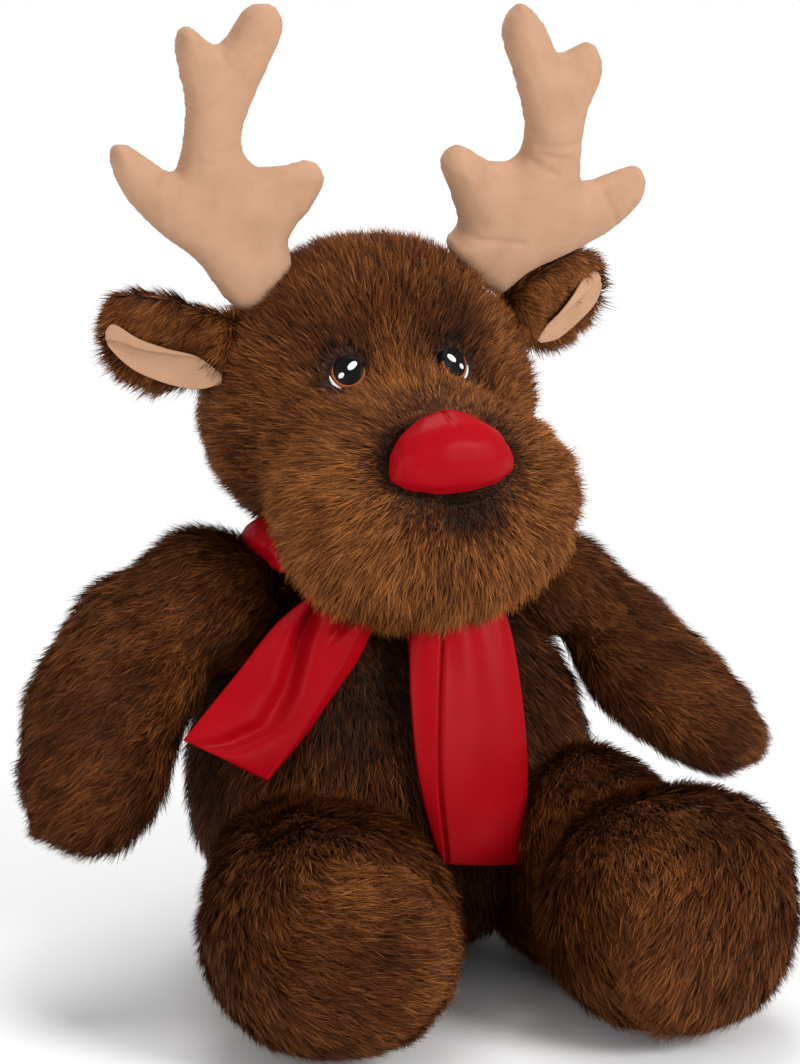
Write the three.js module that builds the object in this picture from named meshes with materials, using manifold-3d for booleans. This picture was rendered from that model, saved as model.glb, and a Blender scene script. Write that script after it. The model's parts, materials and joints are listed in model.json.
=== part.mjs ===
// A seated plush deer: fur torso, head and limbs, suede antlers, a satin nose and a satin scarf.
// Millimetres, +Z up. The toy faces -Y, +X is its own left, and the origin is under its seat.
// Every stuffed part is made as the sewn one is: thin cover panels round a core of stuffing.
// A part that moves has a ball at its root, which turns in a socket of what carries it.
import * as THREE from "three";
import { mergeVertices } from "three/addons/utils/BufferGeometryUtils.js";
import Module from "manifold-3d";

const wasm = await Module();
wasm.setup();

// Clearances and cloth thicknesses
const GAP = 0.3; // between pieces that touch
const SMALL_ROOT_CLEARANCE = 3;
const ROOT_CLEARANCE = 9; // round a moving root, where the real pile is squeezed
const ARM_CLEARANCE = 2.5; // beside the path of an arm
const HEAD_CLEARANCE = 0.4; // beside the path of the head
const FUR_WALL = 8; // backing cloth with its brushed pile
const SHORT_WALL = 4; // the same on the neck, tail and other small parts
const SUEDE_WALL = 2;
const SATIN_WALL = 1.2;
const OVERRUN = 1200; // blocks that only cut are this long
const FLAT_DEPTH = 0.5; // how deep a form is cut flat where it sits

// Torso
const TORSO_HEIGHT = 212;
const TORSO_HALF_WIDTH = 107;
const TORSO_FRONT_DEPTH = 84;
const TORSO_BACK_DEPTH = 78;
const TORSO_MIDDLE_Y = 18;
const TORSO_WIDE_SHARES = [0.9, 0.99, 1.02, 0.98, 0.9, 0.85];
const TORSO_FRONT_SHARES = [0.92, 1, 1, 0.92, 0.78, 0.68];
const TORSO_BACK_SHARES = [0.9, 1, 1, 0.95, 0.83, 0.72];
const PELLET_BAG_HEIGHT = 44;

// Neck
const NECK_Y = 25;
const NECK_RISE = 6; // above the torso's top
const NECK_HEIGHT = TORSO_HEIGHT + NECK_RISE;
const NECK_RADIUS = 46;
const NECK_OPENING_RADIUS = 24;

// Head
const SKULL_BASE = TORSO_HEIGHT;
const SKULL_HEIGHT = 161;
const SKULL_Y = 43;
const SKULL_HALF_WIDTH = 88;
const SKULL_FRONT_DEPTH = 48;
const SKULL_BACK_DEPTH = 76;
const SKULL_WIDE_SHARES = [1.12, 1.08, 1.03, 0.96, 0.9];
const MUZZLE_LENGTH = 118;
const MUZZLE_BACK_Y = 30;
const MUZZLE_RISE = 38; // its middle above the skull's base
const MUZZLE_HEIGHT = SKULL_BASE + MUZZLE_RISE;
const MUZZLE_HALF_WIDTH = 86;
const MUZZLE_DOWN = 65.6;
const MUZZLE_UP = 60;
const MUZZLE_WIDE_SHARES = [0.8, 0.86, 0.93, 1, 1.05, 1.06];
const MUZZLE_DOWN_SHARES = [0.4, 0.6, 0.85, 1, 1.05, 1.06];

// Nose and mouth
const NOSE_WIDTH = 65;
const NOSE_HALF_HEIGHT = 22;
const NOSE_FRONT_DEPTH = 19;
const NOSE_BACK_DEPTH = 6;
const NOSE_SET_BACK = 15; // its middle behind the muzzle's front
const NOSE_RISE = 31; // above the muzzle's middle
const NOSE_Y = MUZZLE_BACK_Y - MUZZLE_LENGTH + NOSE_SET_BACK;
const NOSE_HEIGHT = MUZZLE_HEIGHT + NOSE_RISE;
const NOSE_TILT = 24; // degrees that the nose looks up
const MOUTH_HALF_ANGLE = 14; // degrees each side of the middle of the muzzle
const MOUTH_RADIUS = 2;
const MOUTH_DROP = 26; // below the middle of the nose

// Eyes
const EYE_SPREAD = 29;
const EYE_SET_BACK = 6; // where the face is, at the middle of an eye
const EYE_SKULL_SHARE = 0.6273; // of the skull's height
const EYE_Y = SKULL_Y - SKULL_FRONT_DEPTH + EYE_SET_BACK;
const EYE_HEIGHT = SKULL_BASE + SKULL_HEIGHT * EYE_SKULL_SHARE;
const EYE_RADIUS = 9;
const EYE_BULGE = 4;
const EYE_RIM = 2;

// Antlers
const ANTLER_SPREAD = 61;
const ANTLER_SET_BACK = 3; // behind the skull's middle
const ANTLER_Y = SKULL_Y + ANTLER_SET_BACK;
const ANTLER_SKULL_SHARE = 0.8385; // of the skull's height
const ANTLER_HEIGHT = SKULL_BASE + SKULL_HEIGHT * ANTLER_SKULL_SHARE;
const ANTLER_LENGTH = 160;
const ANTLER_ROOT_RADIUS = 15;
const ANTLER_HALF_DEPTH = 13;
const ANTLER_BEAM_HALF_WIDTH = 19;
const ANTLER_TINE_HALF_WIDTH = 12.5;
const ANTLER_SWAY = 5; // degrees each way
const ANTLER_BEAM_WIDE_SHARES = [1, 1.25, 1.25, 1, 0.95, 0.95];
const ANTLER_TINE_WIDE_SHARES = [1.25, 1.15, 1];
const ANTLERS = { // the toy's own right and left; tips lean forward by so many degrees
  right: {
    forward: 6,
    beam: [
      [0, 0, -0.05], [0.06, 0, 0.2], [0.115, 0, 0.36], [0.155, 0, 0.52], [0.145, 0, 0.64], [0.13, 0, 0.79],
    ],
    tines: [
      { shares: [[0.135, 0, 0.66], [0.18, 0, 0.78], [0.28, 0, 0.885]], wide: 0.95 },
      { shares: [[0.135, 0, 0.66], [0.07, 0, 0.82], [-0.045, 0, 0.945]], wide: 0.95 },
      { shares: [[0.02, 0, 0.03], [0.25, 0, 0.285], [0.495, 0, 0.5]], wide: 1.25 },
      { shares: [[0.14, 0, 0.26], [-0.03, 0, 0.335], [-0.22, 0, 0.36]], wide: 1.15 },
    ],
  },
  left: {
    forward: 18,
    beam: [
      [0, 0, -0.05], [0.06, 0, 0.2], [0.13, 0, 0.36], [0.19, 0, 0.5], [0.185, 0, 0.62], [0.17, 0, 0.77],
    ],
    tines: [
      { shares: [[0.18, 0, 0.64], [0.1, 0, 0.81], [-0.025, 0, 0.97]], wide: 0.95 },
      { shares: [[0.18, 0, 0.64], [0.23, 0, 0.73], [0.32, 0, 0.81]], wide: 0.95 },
      { shares: [[0.02, 0, 0.03], [0.29, 0, 0.2], [0.565, 0, 0.325]], wide: 1.25 },
      { shares: [[0.15, 0, 0.27], [0, 0, 0.355], [-0.19, 0, 0.41]], wide: 1.15 },
    ],
  },
};

// Ears
const EAR_SPREAD = 83;
const EAR_Y = SKULL_Y;
const EAR_SKULL_SHARE = 0.6522; // of the skull's height
const EAR_HEIGHT = SKULL_BASE + SKULL_HEIGHT * EAR_SKULL_SHARE;
const EAR_LENGTH = 71;
const EAR_HALF_WIDTH = 25;
const EAR_BACK_DEPTH = 10;
const EAR_FRONT_DEPTH = 5;
const EAR_LINING_SEAT = 1.5; // from the middle of the ear to the back of its lining
const EAR_ROOT_RADIUS = 11;
const EAR_DROP = 15; // degrees down
const EAR_RISE = 4; // degrees up
const EAR_SPINE_SHARES = [[-0.05, -0.02, -0.02], [0.4, 0.14, 0.12], [0.85, 0.36, 0.25]];

// Arms
const SHOULDER_SPREAD = 82;
const SHOULDER_Y = 20;
const SHOULDER_HEIGHT = 182;
const SHOULDER_RADIUS = 25;
const ARM_LENGTH = 150;
const ARM_HALF_WIDTH = 43;
const ARM_HALF_DEPTH = 25;
const ARM_TURN = 38; // degrees that the broad face looks outwards
const ARM_BACK = 12; // degrees of swing
const ARM_FORWARD = 40; // degrees of swing
const ARM_SPINE_SHARES = {
  right: [
    [-0.1, 0, 0.03], [0.1, 0, 0.1], [0.3, -0.04, 0.01], [0.48, -0.1, -0.19], [0.575, -0.2, -0.45],
    [0.645, -0.3, -0.66],
  ],
  left: [
    [-0.1, 0, -0.03], [0.17, -0.04, -0.1], [0.33, -0.16, -0.24], [0.49, -0.32, -0.41], [0.63, -0.5, -0.56],
  ],
};
const ARM_WIDE_SHARES = [0.8, 0.86, 0.93, 1, 1.06, 1.06];

// Legs
const HIP_SPREAD = 70;
const HIP_Y = -32;
const HIP_HEIGHT = 57;
const HIP_RADIUS = 38;
const THIGH_LENGTH = 92;
const THIGH_HALF_WIDTH = 43;
const THIGH_RISES = { right: 50, left: 60 }; // above the hip, in the photographed pose
const FOOT_SPREAD = 71;
const FOOT_BACK_Y = -84;
const FOOT_REACHES = { right: -14, left: 14 }; // the photographed pose has one foot ahead
const FOOT_LENGTH = 112;
const FOOT_RADIUS = 61;
const FOOT_SPLAY = 12; // degrees outwards
const SOLE_DEPTH = 32; // from the sole's front to the seam behind it
const LEG_INWARD = 2; // degrees
const LEG_OUTWARD = 15; // degrees

// Tail
const TAIL_LENGTH = 40;
const TAIL_RADIUS = 16;
const TAIL_HEIGHT = 50;
const TAIL_ROOT_RADIUS = 12;
const TAIL_Y = 84; // its root, just inside the torso's back
const TAIL_WAG = 15; // degrees each way
const TAIL_SPINE_SHARES = [[0, -0.1, 0], [0, 0.4, 0.12], [0, 0.85, 0.5]];

// Head joint
const HEAD_TURN = 15; // degrees each way
const HEAD_NOD = 10; // degrees up

// Scarf
const KNOT_X = -6;
const KNOT_Y = -46;
const KNOT_BELOW_MUZZLE = 16.4; // its middle below the muzzle's lowest line
const KNOT_HEIGHT = MUZZLE_HEIGHT - MUZZLE_DOWN - KNOT_BELOW_MUZZLE;
const KNOT_HALF_WIDTH = 18;
const KNOT_HALF_HEIGHT = 15;
const KNOT_HALF_DEPTH = 13;
const KNOT_CLEARANCE = 0.8; // round the knot, where the ends swing
const BAND_HALF_HEIGHT = 17;
const BAND_HALF_THICKNESS = 6.5;
const BAND_WAY = [ // the band's middle from the knot's level round the toy's left to its back
  [8, -46, 0], [49, -31, 13], [77, -4, 50], [72, 26, 56], [54, 62, 40], [0, 80, 28],
];
const SCARF_END_THICKNESS = 4;
const SCARF_END_FOLD = 5;
const SCARF_END_ROWS = 8;
const SCARF_END_FOLD_SHARES = [0, 0.6, 1, 0.3, 0.8, 0];
const SCARF_ENDS = { // rows of the two edges of each end, from the knot's level to the hem
  right: [
    [[-27, -47, 12], [-25, -52, -11]],
    [[-72, -26, 21], [-36, -44, 0]],
    [[-99, -31, -1], [-52, -47, -16]],
    [[-130, -42, -27], [-82, -48, -51]],
  ],
  left: [
    [[-6, -54, -1], [14, -54, 1]],
    [[-10, -59, -18], [46, -54, -18]],
    [[-13, -72, -64], [40, -72, -71]],
    [[0, -75, -100], [33, -76, -108]],
  ],
};
const SCARF_END_RISE = 35; // degrees that the toy's right end lifts
const SCARF_END_SWING = 15; // degrees that its left end swings

// Finishes
const FUR = { color: 0x4a2810, roughness: 0.95, metalness: 0 };
const MUZZLE_FUR = { color: 0x5c3216, roughness: 0.95, metalness: 0 };
const SUEDE = { color: 0xd3a27a, roughness: 0.85, metalness: 0 };
const SATIN = { color: 0xb30c1c, roughness: 0.45, metalness: 0 };
const FILLING = { color: 0xe8e4da, roughness: 1, metalness: 0 };
const EYE_BLACK = { color: 0x0b0908, roughness: 0.2, metalness: 0 };
const EYE_BROWN = { color: 0x5a2c14, roughness: 0.4, metalness: 0 };
const THREAD = { color: 0x1c0d06, roughness: 0.9, metalness: 0 };

const deer = new THREE.Group();
const vec = (x, y, z) => new THREE.Vector3(x, y, z);
const radians = THREE.MathUtils.degToRad;
const FRONT = vec(0, -1, 0);
const UP = vec(0, 0, 1);
const SIDEWAYS = vec(1, 0, 0);
const EVEN_SHARES = [1, 1]; // the same all along

// The value of a table of shares at a place from 0 to 1 along it.
function shareAt(shares, place) {
  const points = shares.map((share, i) => new THREE.Vector2(i, share));
  return new THREE.SplineCurve(points).getPoint(place).y;
}

// A manifold solid from points and faces.
function solidFrom(points, faces) {
  const vertProperties = Float32Array.from(points.flatMap((p) => p.toArray()));
  const triVerts = Uint32Array.from(faces);
  return new wasm.Manifold(new wasm.Mesh({ numProp: 3, vertProperties, triVerts }));
}

// A manifold solid of a closed three.js geometry.
function solidOf(geometry) {
  geometry.deleteAttribute("normal");
  geometry.deleteAttribute("uv");
  const merged = mergeVertices(geometry, GAP / 100);
  const position = merged.attributes.position;
  const points = Array.from({ length: position.count }, (_, i) => vec().fromBufferAttribute(position, i));
  const faces = [];
  for (let i = 0; i < merged.index.count; i += 3) {
    const corners = [0, 1, 2].map((k) => merged.index.getX(i + k));
    if (new Set(corners).size === 3) faces.push(...corners);
  }
  return solidFrom(points, faces);
}

// A closed skin through rings of points, drawn to a point at each end.
function skinned(rings, first, last) {
  const points = [first, ...rings.flat(), last];
  const around = rings[0].length;
  const at = (ring, i) => 1 + ring * around + (i % around);
  const faces = [];
  for (let i = 0; i < around; i++) {
    faces.push(0, at(0, i + 1), at(0, i));
    faces.push(points.length - 1, at(rings.length - 1, i), at(rings.length - 1, i + 1));
    for (let ring = 0; ring + 1 < rings.length; ring++) {
      faces.push(at(ring, i), at(ring, i + 1), at(ring + 1, i + 1));
      faces.push(at(ring, i), at(ring + 1, i + 1), at(ring + 1, i));
    }
  }
  return solidFrom(points, faces);
}

// A stuffed form: rings round a spine, swelling from one end and tapering to the other.
// Its face is the way that its front looks; grow moves the whole surface out or in.
function stuffed(form, { grow = 0, pose = null, fine = true } = {}) {
  const spine = new THREE.CatmullRomCurve3(form.spine);
  const [around, along] = fine ? form.fine : form.coarse;
  const wide = form.wideShares ?? EVEN_SHARES;
  const front = form.frontShares ?? wide;
  const back = form.backShares ?? wide;
  const station = (share) => {
    const turn = Math.PI * share;
    const place = (1 - Math.cos(turn)) / 2;
    const way = spine.getTangentAt(place);
    const centre = spine.getPointAt(place).addScaledVector(way, -Math.cos(turn) * grow);
    return { turn, place, way, centre };
  };
  const rings = [];
  for (let ring = 1; ring < along; ring++) {
    const { turn, place, way, centre } = station(ring / along);
    const sideways = way.clone().cross(form.face).normalize();
    const backways = way.clone().cross(sideways).normalize();
    const reach = (size, shares) =>
      size * shareAt(shares, place) * Math.sin(turn) ** form.blunt + grow * Math.sin(turn);
    const halfWidth = reach(form.halfWidth, wide);
    const frontDepth = reach(form.frontDepth, front);
    const backDepth = reach(form.backDepth, back);
    rings.push(Array.from({ length: around }, (_, i) => {
      const angle = (2 * Math.PI * i) / around;
      const depth = Math.sin(angle) > 0 ? backDepth : frontDepth;
      return centre.clone()
        .addScaledVector(sideways, Math.cos(angle) * halfWidth)
        .addScaledVector(backways, Math.sin(angle) * depth);
    }));
  }
  const ends = [station(0).centre, station(1).centre];
  if (pose) [...rings.flat(), ...ends].forEach((point) => point.applyMatrix4(pose));
  return skinned(rings, ...ends);
}

// A ball of so many rows and twice the steps round, with its poles on an axis.
// Across the axis it can be wider than along it.
function ball({ centre, rows, axis }, along, across) {
  const geometry = new THREE.SphereGeometry(across, 2 * rows, rows);
  geometry.scale(1, along / across, 1);
  geometry.applyQuaternion(new THREE.Quaternion().setFromUnitVectors(vec(0, 1, 0), axis));
  geometry.translate(centre.x, centre.y, centre.z);
  return solidOf(geometry);
}

// The ball at a root, and the socket that it turns in: the socket's flats clear the ball's corners.
// A loose socket clears them however the ball turns, and not only about the axis.
const rootBall = (root, grow = 0) => ball(root, root.radius + grow, root.radius + grow);
function socket(root, grow = 0, loose = false) {
  const flats = Math.cos(Math.PI / 2 / root.rows);
  const reach = root.radius + GAP;
  return ball(root, (loose ? reach / flats : reach) - grow, reach / (loose ? flats ** 2 : flats) - grow);
}
const mirrored = (root) => ({ ...root, centre: root.centre.clone().setX(-root.centre.x) });

// A block that fills everything beyond a plane, on the side that the normal points to.
function beyond(point, normal) {
  const block = new THREE.BoxGeometry(OVERRUN, OVERRUN, OVERRUN);
  block.translate(0, 0, OVERRUN / 2);
  block.applyQuaternion(new THREE.Quaternion().setFromUnitVectors(UP, normal.clone().normalize()));
  block.translate(point.x, point.y, point.z);
  return solidOf(block);
}

// The two panels of a cover, parted along the plane of their seam: the one ahead, then the one behind.
function panels(cover, point, normal) {
  const away = normal.clone().normalize();
  const step = away.clone().multiplyScalar(GAP / 2);
  return [
    cover.subtract(beyond(point.clone().add(step), away.clone().negate())),
    cover.subtract(beyond(point.clone().sub(step), away)),
  ];
}

// A turn of so many degrees about an axis through a point, as a matrix.
function turnAbout(point, axis, degrees) {
  return new THREE.Matrix4()
    .makeTranslation(point.x, point.y, point.z)
    .multiply(new THREE.Matrix4().makeRotationAxis(axis, radians(degrees)))
    .multiply(new THREE.Matrix4().makeTranslation(-point.x, -point.y, -point.z));
}

const joined = (solids) => solids.reduce((whole, part) => whole.add(part));
const cut = (solid, ...tools) => tools.reduce((rest, tool) => rest.subtract(tool), solid);

// Everywhere that a form gets to as it turns on a root, and the room that a carrier takes,
// seen from the part that turns on it.
const pathOf = (form, root, angles, grow, fine) => joined(angles.map((angle) =>
  stuffed(form, { grow, fine, pose: turnAbout(root.centre, root.axis, angle) })));
const roomOf = (carrier, root, angles, grow, fine = false) =>
  pathOf(carrier, root, angles.map((angle) => -angle), grow, fine);

// A part that turns on a root ball: its form clear of its carrier, joined to the ball.
const rooted = (form, room, root, grow, fine) =>
  stuffed(form, { grow, fine }).subtract(room).add(rootBall(root, grow));

// A cut can leave a crumb beside the piece itself, which is the largest body.
const larger = (first, second) => (second.volume() > first.volume() ? second : first);
const largest = (solid) => solid.decompose().reduce(larger);

// Adds one named piece to the toy; side -1 puts its mirror image on the toy's right.
function piece(name, solid, finish, side = 1) {
  const made = largest(solid).getMesh();
  const geometry = new THREE.BufferGeometry();
  geometry.setAttribute("position", new THREE.BufferAttribute(made.vertProperties, made.numProp));
  geometry.setIndex(new THREE.BufferAttribute(made.triVerts, 1));
  geometry.computeVertexNormals();
  const mesh = new THREE.Mesh(geometry, new THREE.MeshStandardMaterial(finish));
  mesh.name = name;
  mesh.scale.x = side;
  deer.add(mesh);
}

const placed = (root, length, shares) =>
  shares.map(([x, y, z]) => root.clone().add(vec(x, y, z).multiplyScalar(length)));

// Roots and pivots, on the toy's left where there are two
const NECK_ROWS = 8;
const LARGE_ROWS = 6;
const SMALL_ROWS = 5;
const neck = { centre: vec(0, NECK_Y, NECK_HEIGHT), radius: NECK_RADIUS, rows: NECK_ROWS, axis: UP };
const hip = {
  centre: vec(HIP_SPREAD, HIP_Y, HIP_HEIGHT),
  radius: HIP_RADIUS,
  rows: LARGE_ROWS,
  axis: UP,
};
const shoulder = {
  centre: vec(SHOULDER_SPREAD, SHOULDER_Y, SHOULDER_HEIGHT),
  radius: SHOULDER_RADIUS,
  rows: LARGE_ROWS,
  axis: SIDEWAYS.clone().negate(),
};
const antlerRoot = {
  centre: vec(ANTLER_SPREAD, ANTLER_Y, ANTLER_HEIGHT),
  radius: ANTLER_ROOT_RADIUS,
  rows: SMALL_ROWS,
  axis: FRONT,
};
const earRoot = {
  centre: vec(EAR_SPREAD, EAR_Y, EAR_HEIGHT),
  radius: EAR_ROOT_RADIUS,
  rows: SMALL_ROWS,
  axis: FRONT,
};
const tailRoot = {
  centre: vec(0, TAIL_Y, TAIL_HEIGHT),
  radius: TAIL_ROOT_RADIUS,
  rows: SMALL_ROWS,
  axis: UP,
};

// Forms
const torsoForm = {
  spine: [
    vec(0, 0, -FLAT_DEPTH),
    vec(0, TORSO_MIDDLE_Y, TORSO_HEIGHT / 2),
    vec(0, NECK_Y, TORSO_HEIGHT),
  ],
  face: FRONT,
  halfWidth: TORSO_HALF_WIDTH,
  frontDepth: TORSO_FRONT_DEPTH,
  backDepth: TORSO_BACK_DEPTH,
  wideShares: TORSO_WIDE_SHARES,
  frontShares: TORSO_FRONT_SHARES,
  backShares: TORSO_BACK_SHARES,
  blunt: 0.7,
  fine: [16, 10],
  coarse: [10, 6],
};
const skullForm = {
  spine: [vec(0, SKULL_Y, SKULL_BASE), vec(0, SKULL_Y, SKULL_BASE + SKULL_HEIGHT)],
  face: FRONT,
  halfWidth: SKULL_HALF_WIDTH,
  frontDepth: SKULL_FRONT_DEPTH,
  backDepth: SKULL_BACK_DEPTH,
  wideShares: SKULL_WIDE_SHARES,
  blunt: 0.9,
  fine: [16, 9],
  coarse: [10, 6],
};
const muzzleForm = {
  spine: [vec(0, MUZZLE_BACK_Y, MUZZLE_HEIGHT), vec(0, MUZZLE_BACK_Y - MUZZLE_LENGTH, MUZZLE_HEIGHT)],
  face: UP.clone().negate(),
  halfWidth: MUZZLE_HALF_WIDTH,
  frontDepth: MUZZLE_DOWN,
  backDepth: MUZZLE_UP,
  wideShares: MUZZLE_WIDE_SHARES,
  frontShares: MUZZLE_DOWN_SHARES,
  blunt: 0.85,
  fine: [16, 9],
  coarse: [10, 5],
};
const noseLook = vec(0, -Math.cos(radians(NOSE_TILT)), Math.sin(radians(NOSE_TILT)));
const noseForm = {
  spine: [vec(-NOSE_WIDTH / 2, NOSE_Y, NOSE_HEIGHT), vec(NOSE_WIDTH / 2, NOSE_Y, NOSE_HEIGHT)],
  face: noseLook,
  halfWidth: NOSE_HALF_HEIGHT,
  frontDepth: NOSE_FRONT_DEPTH,
  backDepth: NOSE_BACK_DEPTH,
  blunt: 0.7,
  fine: [12, 7],
  coarse: [8, 5],
};
const mouthHeight = NOSE_HEIGHT - MOUTH_DROP;
const mouthAt = (share) => {
  const angle = share * radians(MOUTH_HALF_ANGLE);
  return vec(
    Math.sin(angle) * MUZZLE_HALF_WIDTH,
    MUZZLE_BACK_Y - (MUZZLE_LENGTH * (1 + Math.cos(angle))) / 2,
    mouthHeight,
  );
};
const mouthForm = {
  spine: [-1, -0.5, 0, 0.5, 1].map(mouthAt),
  face: FRONT,
  halfWidth: MOUTH_RADIUS,
  frontDepth: MOUTH_RADIUS,
  backDepth: MOUTH_RADIUS,
  blunt: 0.4,
  fine: [6, 8],
};
const armForm = (name) => ({
  spine: placed(shoulder.centre, ARM_LENGTH, ARM_SPINE_SHARES[name]),
  face: vec(Math.sin(radians(ARM_TURN)), -Math.cos(radians(ARM_TURN)), 0),
  halfWidth: ARM_HALF_WIDTH,
  frontDepth: ARM_HALF_DEPTH,
  backDepth: ARM_HALF_DEPTH,
  wideShares: ARM_WIDE_SHARES,
  frontShares: EVEN_SHARES,
  backShares: EVEN_SHARES,
  blunt: 0.6,
  fine: [12, 7],
  coarse: [8, 6],
});
const legWay = vec(Math.sin(radians(FOOT_SPLAY)), -Math.cos(radians(FOOT_SPLAY)), 0);
const footBack = (name) => vec(FOOT_SPREAD, FOOT_BACK_Y - FOOT_REACHES[name], FOOT_RADIUS - FLAT_DEPTH);
const footForm = (name) => ({
  spine: [footBack(name), footBack(name).addScaledVector(legWay, FOOT_LENGTH)],
  face: UP.clone().negate(),
  halfWidth: FOOT_RADIUS,
  frontDepth: FOOT_RADIUS,
  backDepth: FOOT_RADIUS,
  blunt: 0.62,
  fine: [14, 7],
  coarse: [12, 6],
});
const thighForm = (name) => ({
  spine: [
    hip.centre.clone().addScaledVector(legWay, -THIGH_HALF_WIDTH / 2),
    hip.centre.clone().addScaledVector(legWay, THIGH_LENGTH),
  ],
  face: UP.clone().negate(),
  halfWidth: THIGH_HALF_WIDTH,
  frontDepth: HIP_HEIGHT + FLAT_DEPTH,
  backDepth: THIGH_RISES[name],
  blunt: 0.5,
  fine: [12, 6],
  coarse: [8, 5],
});
const tailForm = {
  spine: placed(tailRoot.centre, TAIL_LENGTH, TAIL_SPINE_SHARES),
  face: SIDEWAYS,
  halfWidth: TAIL_RADIUS,
  frontDepth: TAIL_RADIUS,
  backDepth: TAIL_RADIUS,
  blunt: 0.7,
  fine: [8, 5],
};
const earForm = {
  spine: placed(earRoot.centre, EAR_LENGTH, EAR_SPINE_SHARES),
  face: vec(0.15, -0.9, -0.3),
  halfWidth: EAR_HALF_WIDTH,
  frontDepth: EAR_FRONT_DEPTH,
  backDepth: EAR_BACK_DEPTH,
  wideShares: [0.7, 1, 1.1, 1, 0.9],
  frontShares: EVEN_SHARES,
  backShares: EVEN_SHARES,
  blunt: 0.8,
  fine: [8, 6],
};
const knotForm = {
  spine: [
    vec(KNOT_X - KNOT_HALF_WIDTH, KNOT_Y, KNOT_HEIGHT),
    vec(KNOT_X + KNOT_HALF_WIDTH, KNOT_Y, KNOT_HEIGHT),
  ],
  face: FRONT,
  halfWidth: KNOT_HALF_HEIGHT,
  frontDepth: KNOT_HALF_DEPTH,
  backDepth: KNOT_HALF_DEPTH,
  blunt: 0.6,
  fine: [8, 6],
};
const fromKnot = ([x, y, z]) => vec(x, y, KNOT_HEIGHT + z);
const bandSide = BAND_WAY.map(fromKnot);
const bandForm = {
  spine: [...bandSide, ...bandSide.slice(0, -1).reverse().map((p) => vec(-p.x, p.y, p.z))],
  face: UP,
  halfWidth: BAND_HALF_THICKNESS,
  frontDepth: BAND_HALF_HEIGHT,
  backDepth: BAND_HALF_HEIGHT,
  blunt: 0.15,
  fine: [6, 16],
};

// An antler is a beam and four tines in one plane, each a flat stuffed form.
const antlerForm = (shares, halfWidth, wideShares) => ({
  spine: placed(antlerRoot.centre, ANTLER_LENGTH, shares),
  face: FRONT,
  halfWidth,
  frontDepth: ANTLER_HALF_DEPTH,
  backDepth: ANTLER_HALF_DEPTH,
  wideShares,
  frontShares: EVEN_SHARES,
  backShares: EVEN_SHARES,
  blunt: 0.6,
  fine: [8, 5],
  coarse: [6, 4],
});
const antlerForms = ({ beam, tines }) => [
  antlerForm(beam, ANTLER_BEAM_HALF_WIDTH, ANTLER_BEAM_WIDE_SHARES),
  ...tines.map(({ shares, wide }) =>
    antlerForm(shares, ANTLER_TINE_HALF_WIDTH * wide, ANTLER_TINE_WIDE_SHARES)),
];

const floor = beyond(vec(0, 0, 0), UP.clone().negate());

// Every place that the head gets to as it turns and nods, with a clearance round it.
const headTurns = [-1, 0, 1].map((share) => turnAbout(neck.centre, UP, share * HEAD_TURN));
const headNod = turnAbout(neck.centre, SIDEWAYS, -HEAD_NOD);
const headRoom = (grow) => joined(headTurns.flatMap((turn) => [
  stuffed(muzzleForm, { grow, pose: turn }),
  stuffed(skullForm, { grow, pose: turn }),
  stuffed(skullForm, { grow, pose: turn.clone().multiply(headNod) }),
]));

// The torso's outside at a grow, with the sockets of all that turns on it.
const torsoRoots = [neck, hip, mirrored(hip), shoulder, mirrored(shoulder), tailRoot];
const torso = (grow, fine) => cut(
  stuffed(torsoForm, { grow, fine }),
  ...torsoRoots.map((root) => socket(root, grow)),
  floor,
);

function addTorso() {
  const [front, back] = panels(torso(0, true).subtract(torso(-FUR_WALL, false)), shoulder.centre, FRONT);
  piece("torso_front_panel", front, FUR);
  piece("torso_back_panel", back, FUR);
  const filling = torso(-FUR_WALL - GAP, false);
  piece("seat_pellet_bag", filling.subtract(beyond(vec(0, 0, PELLET_BAG_HEIGHT), UP)), FILLING);
  const overBag = vec(0, 0, PELLET_BAG_HEIGHT + GAP);
  piece("torso_stuffing", filling.subtract(beyond(overBag, UP.clone().negate())), FILLING);
}

function addTail() {
  const turns = [-TAIL_WAG, TAIL_WAG];
  const room = (grow) => roomOf(torsoForm, tailRoot, turns, SMALL_ROOT_CLEARANCE - grow, true);
  const tail = (grow) => rooted(tailForm, room(grow), tailRoot, grow, true);
  const mouth = beyond(tailRoot.centre.clone().addScaledVector(FRONT, TAIL_ROOT_RADIUS / 2), FRONT);
  piece("tail_cover", cut(tail(0), tail(-SHORT_WALL), mouth), FUR);
  piece("tail_stuffing", tail(-SHORT_WALL - GAP), FILLING);
}

// The neck is a short stuffed ring: the torso's stuffing meets it below and the head's above.
function addNeck() {
  const radius = NECK_OPENING_RADIUS;
  const opening = new THREE.CylinderGeometry(radius, radius, OVERRUN, 2 * LARGE_ROWS);
  opening.rotateX(Math.PI / 2);
  opening.translate(neck.centre.x, neck.centre.y, neck.centre.z);
  piece("neck_cover", cut(rootBall(neck), rootBall(neck, -SHORT_WALL), solidOf(opening)), FUR);
  piece("neck_stuffing", rootBall(neck, -SHORT_WALL - GAP), FILLING);
}

// The skull's outside at a grow, with the sockets of the neck, antlers and ears.
const skullRoots = [antlerRoot, mirrored(antlerRoot), earRoot, mirrored(earRoot)];
const skull = (grow, fine) => cut(
  stuffed(skullForm, { grow, fine }),
  socket(neck, grow, true),
  ...skullRoots.map((root) => socket(root, grow)),
);
const besideSkull = stuffed(skullForm, { grow: GAP });
const muzzle = (grow, fine) => cut(
  stuffed(muzzleForm, { grow, fine }),
  besideSkull,
  socket(neck, grow, true),
  stuffed(noseForm, { grow: GAP - grow }),
);

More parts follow.
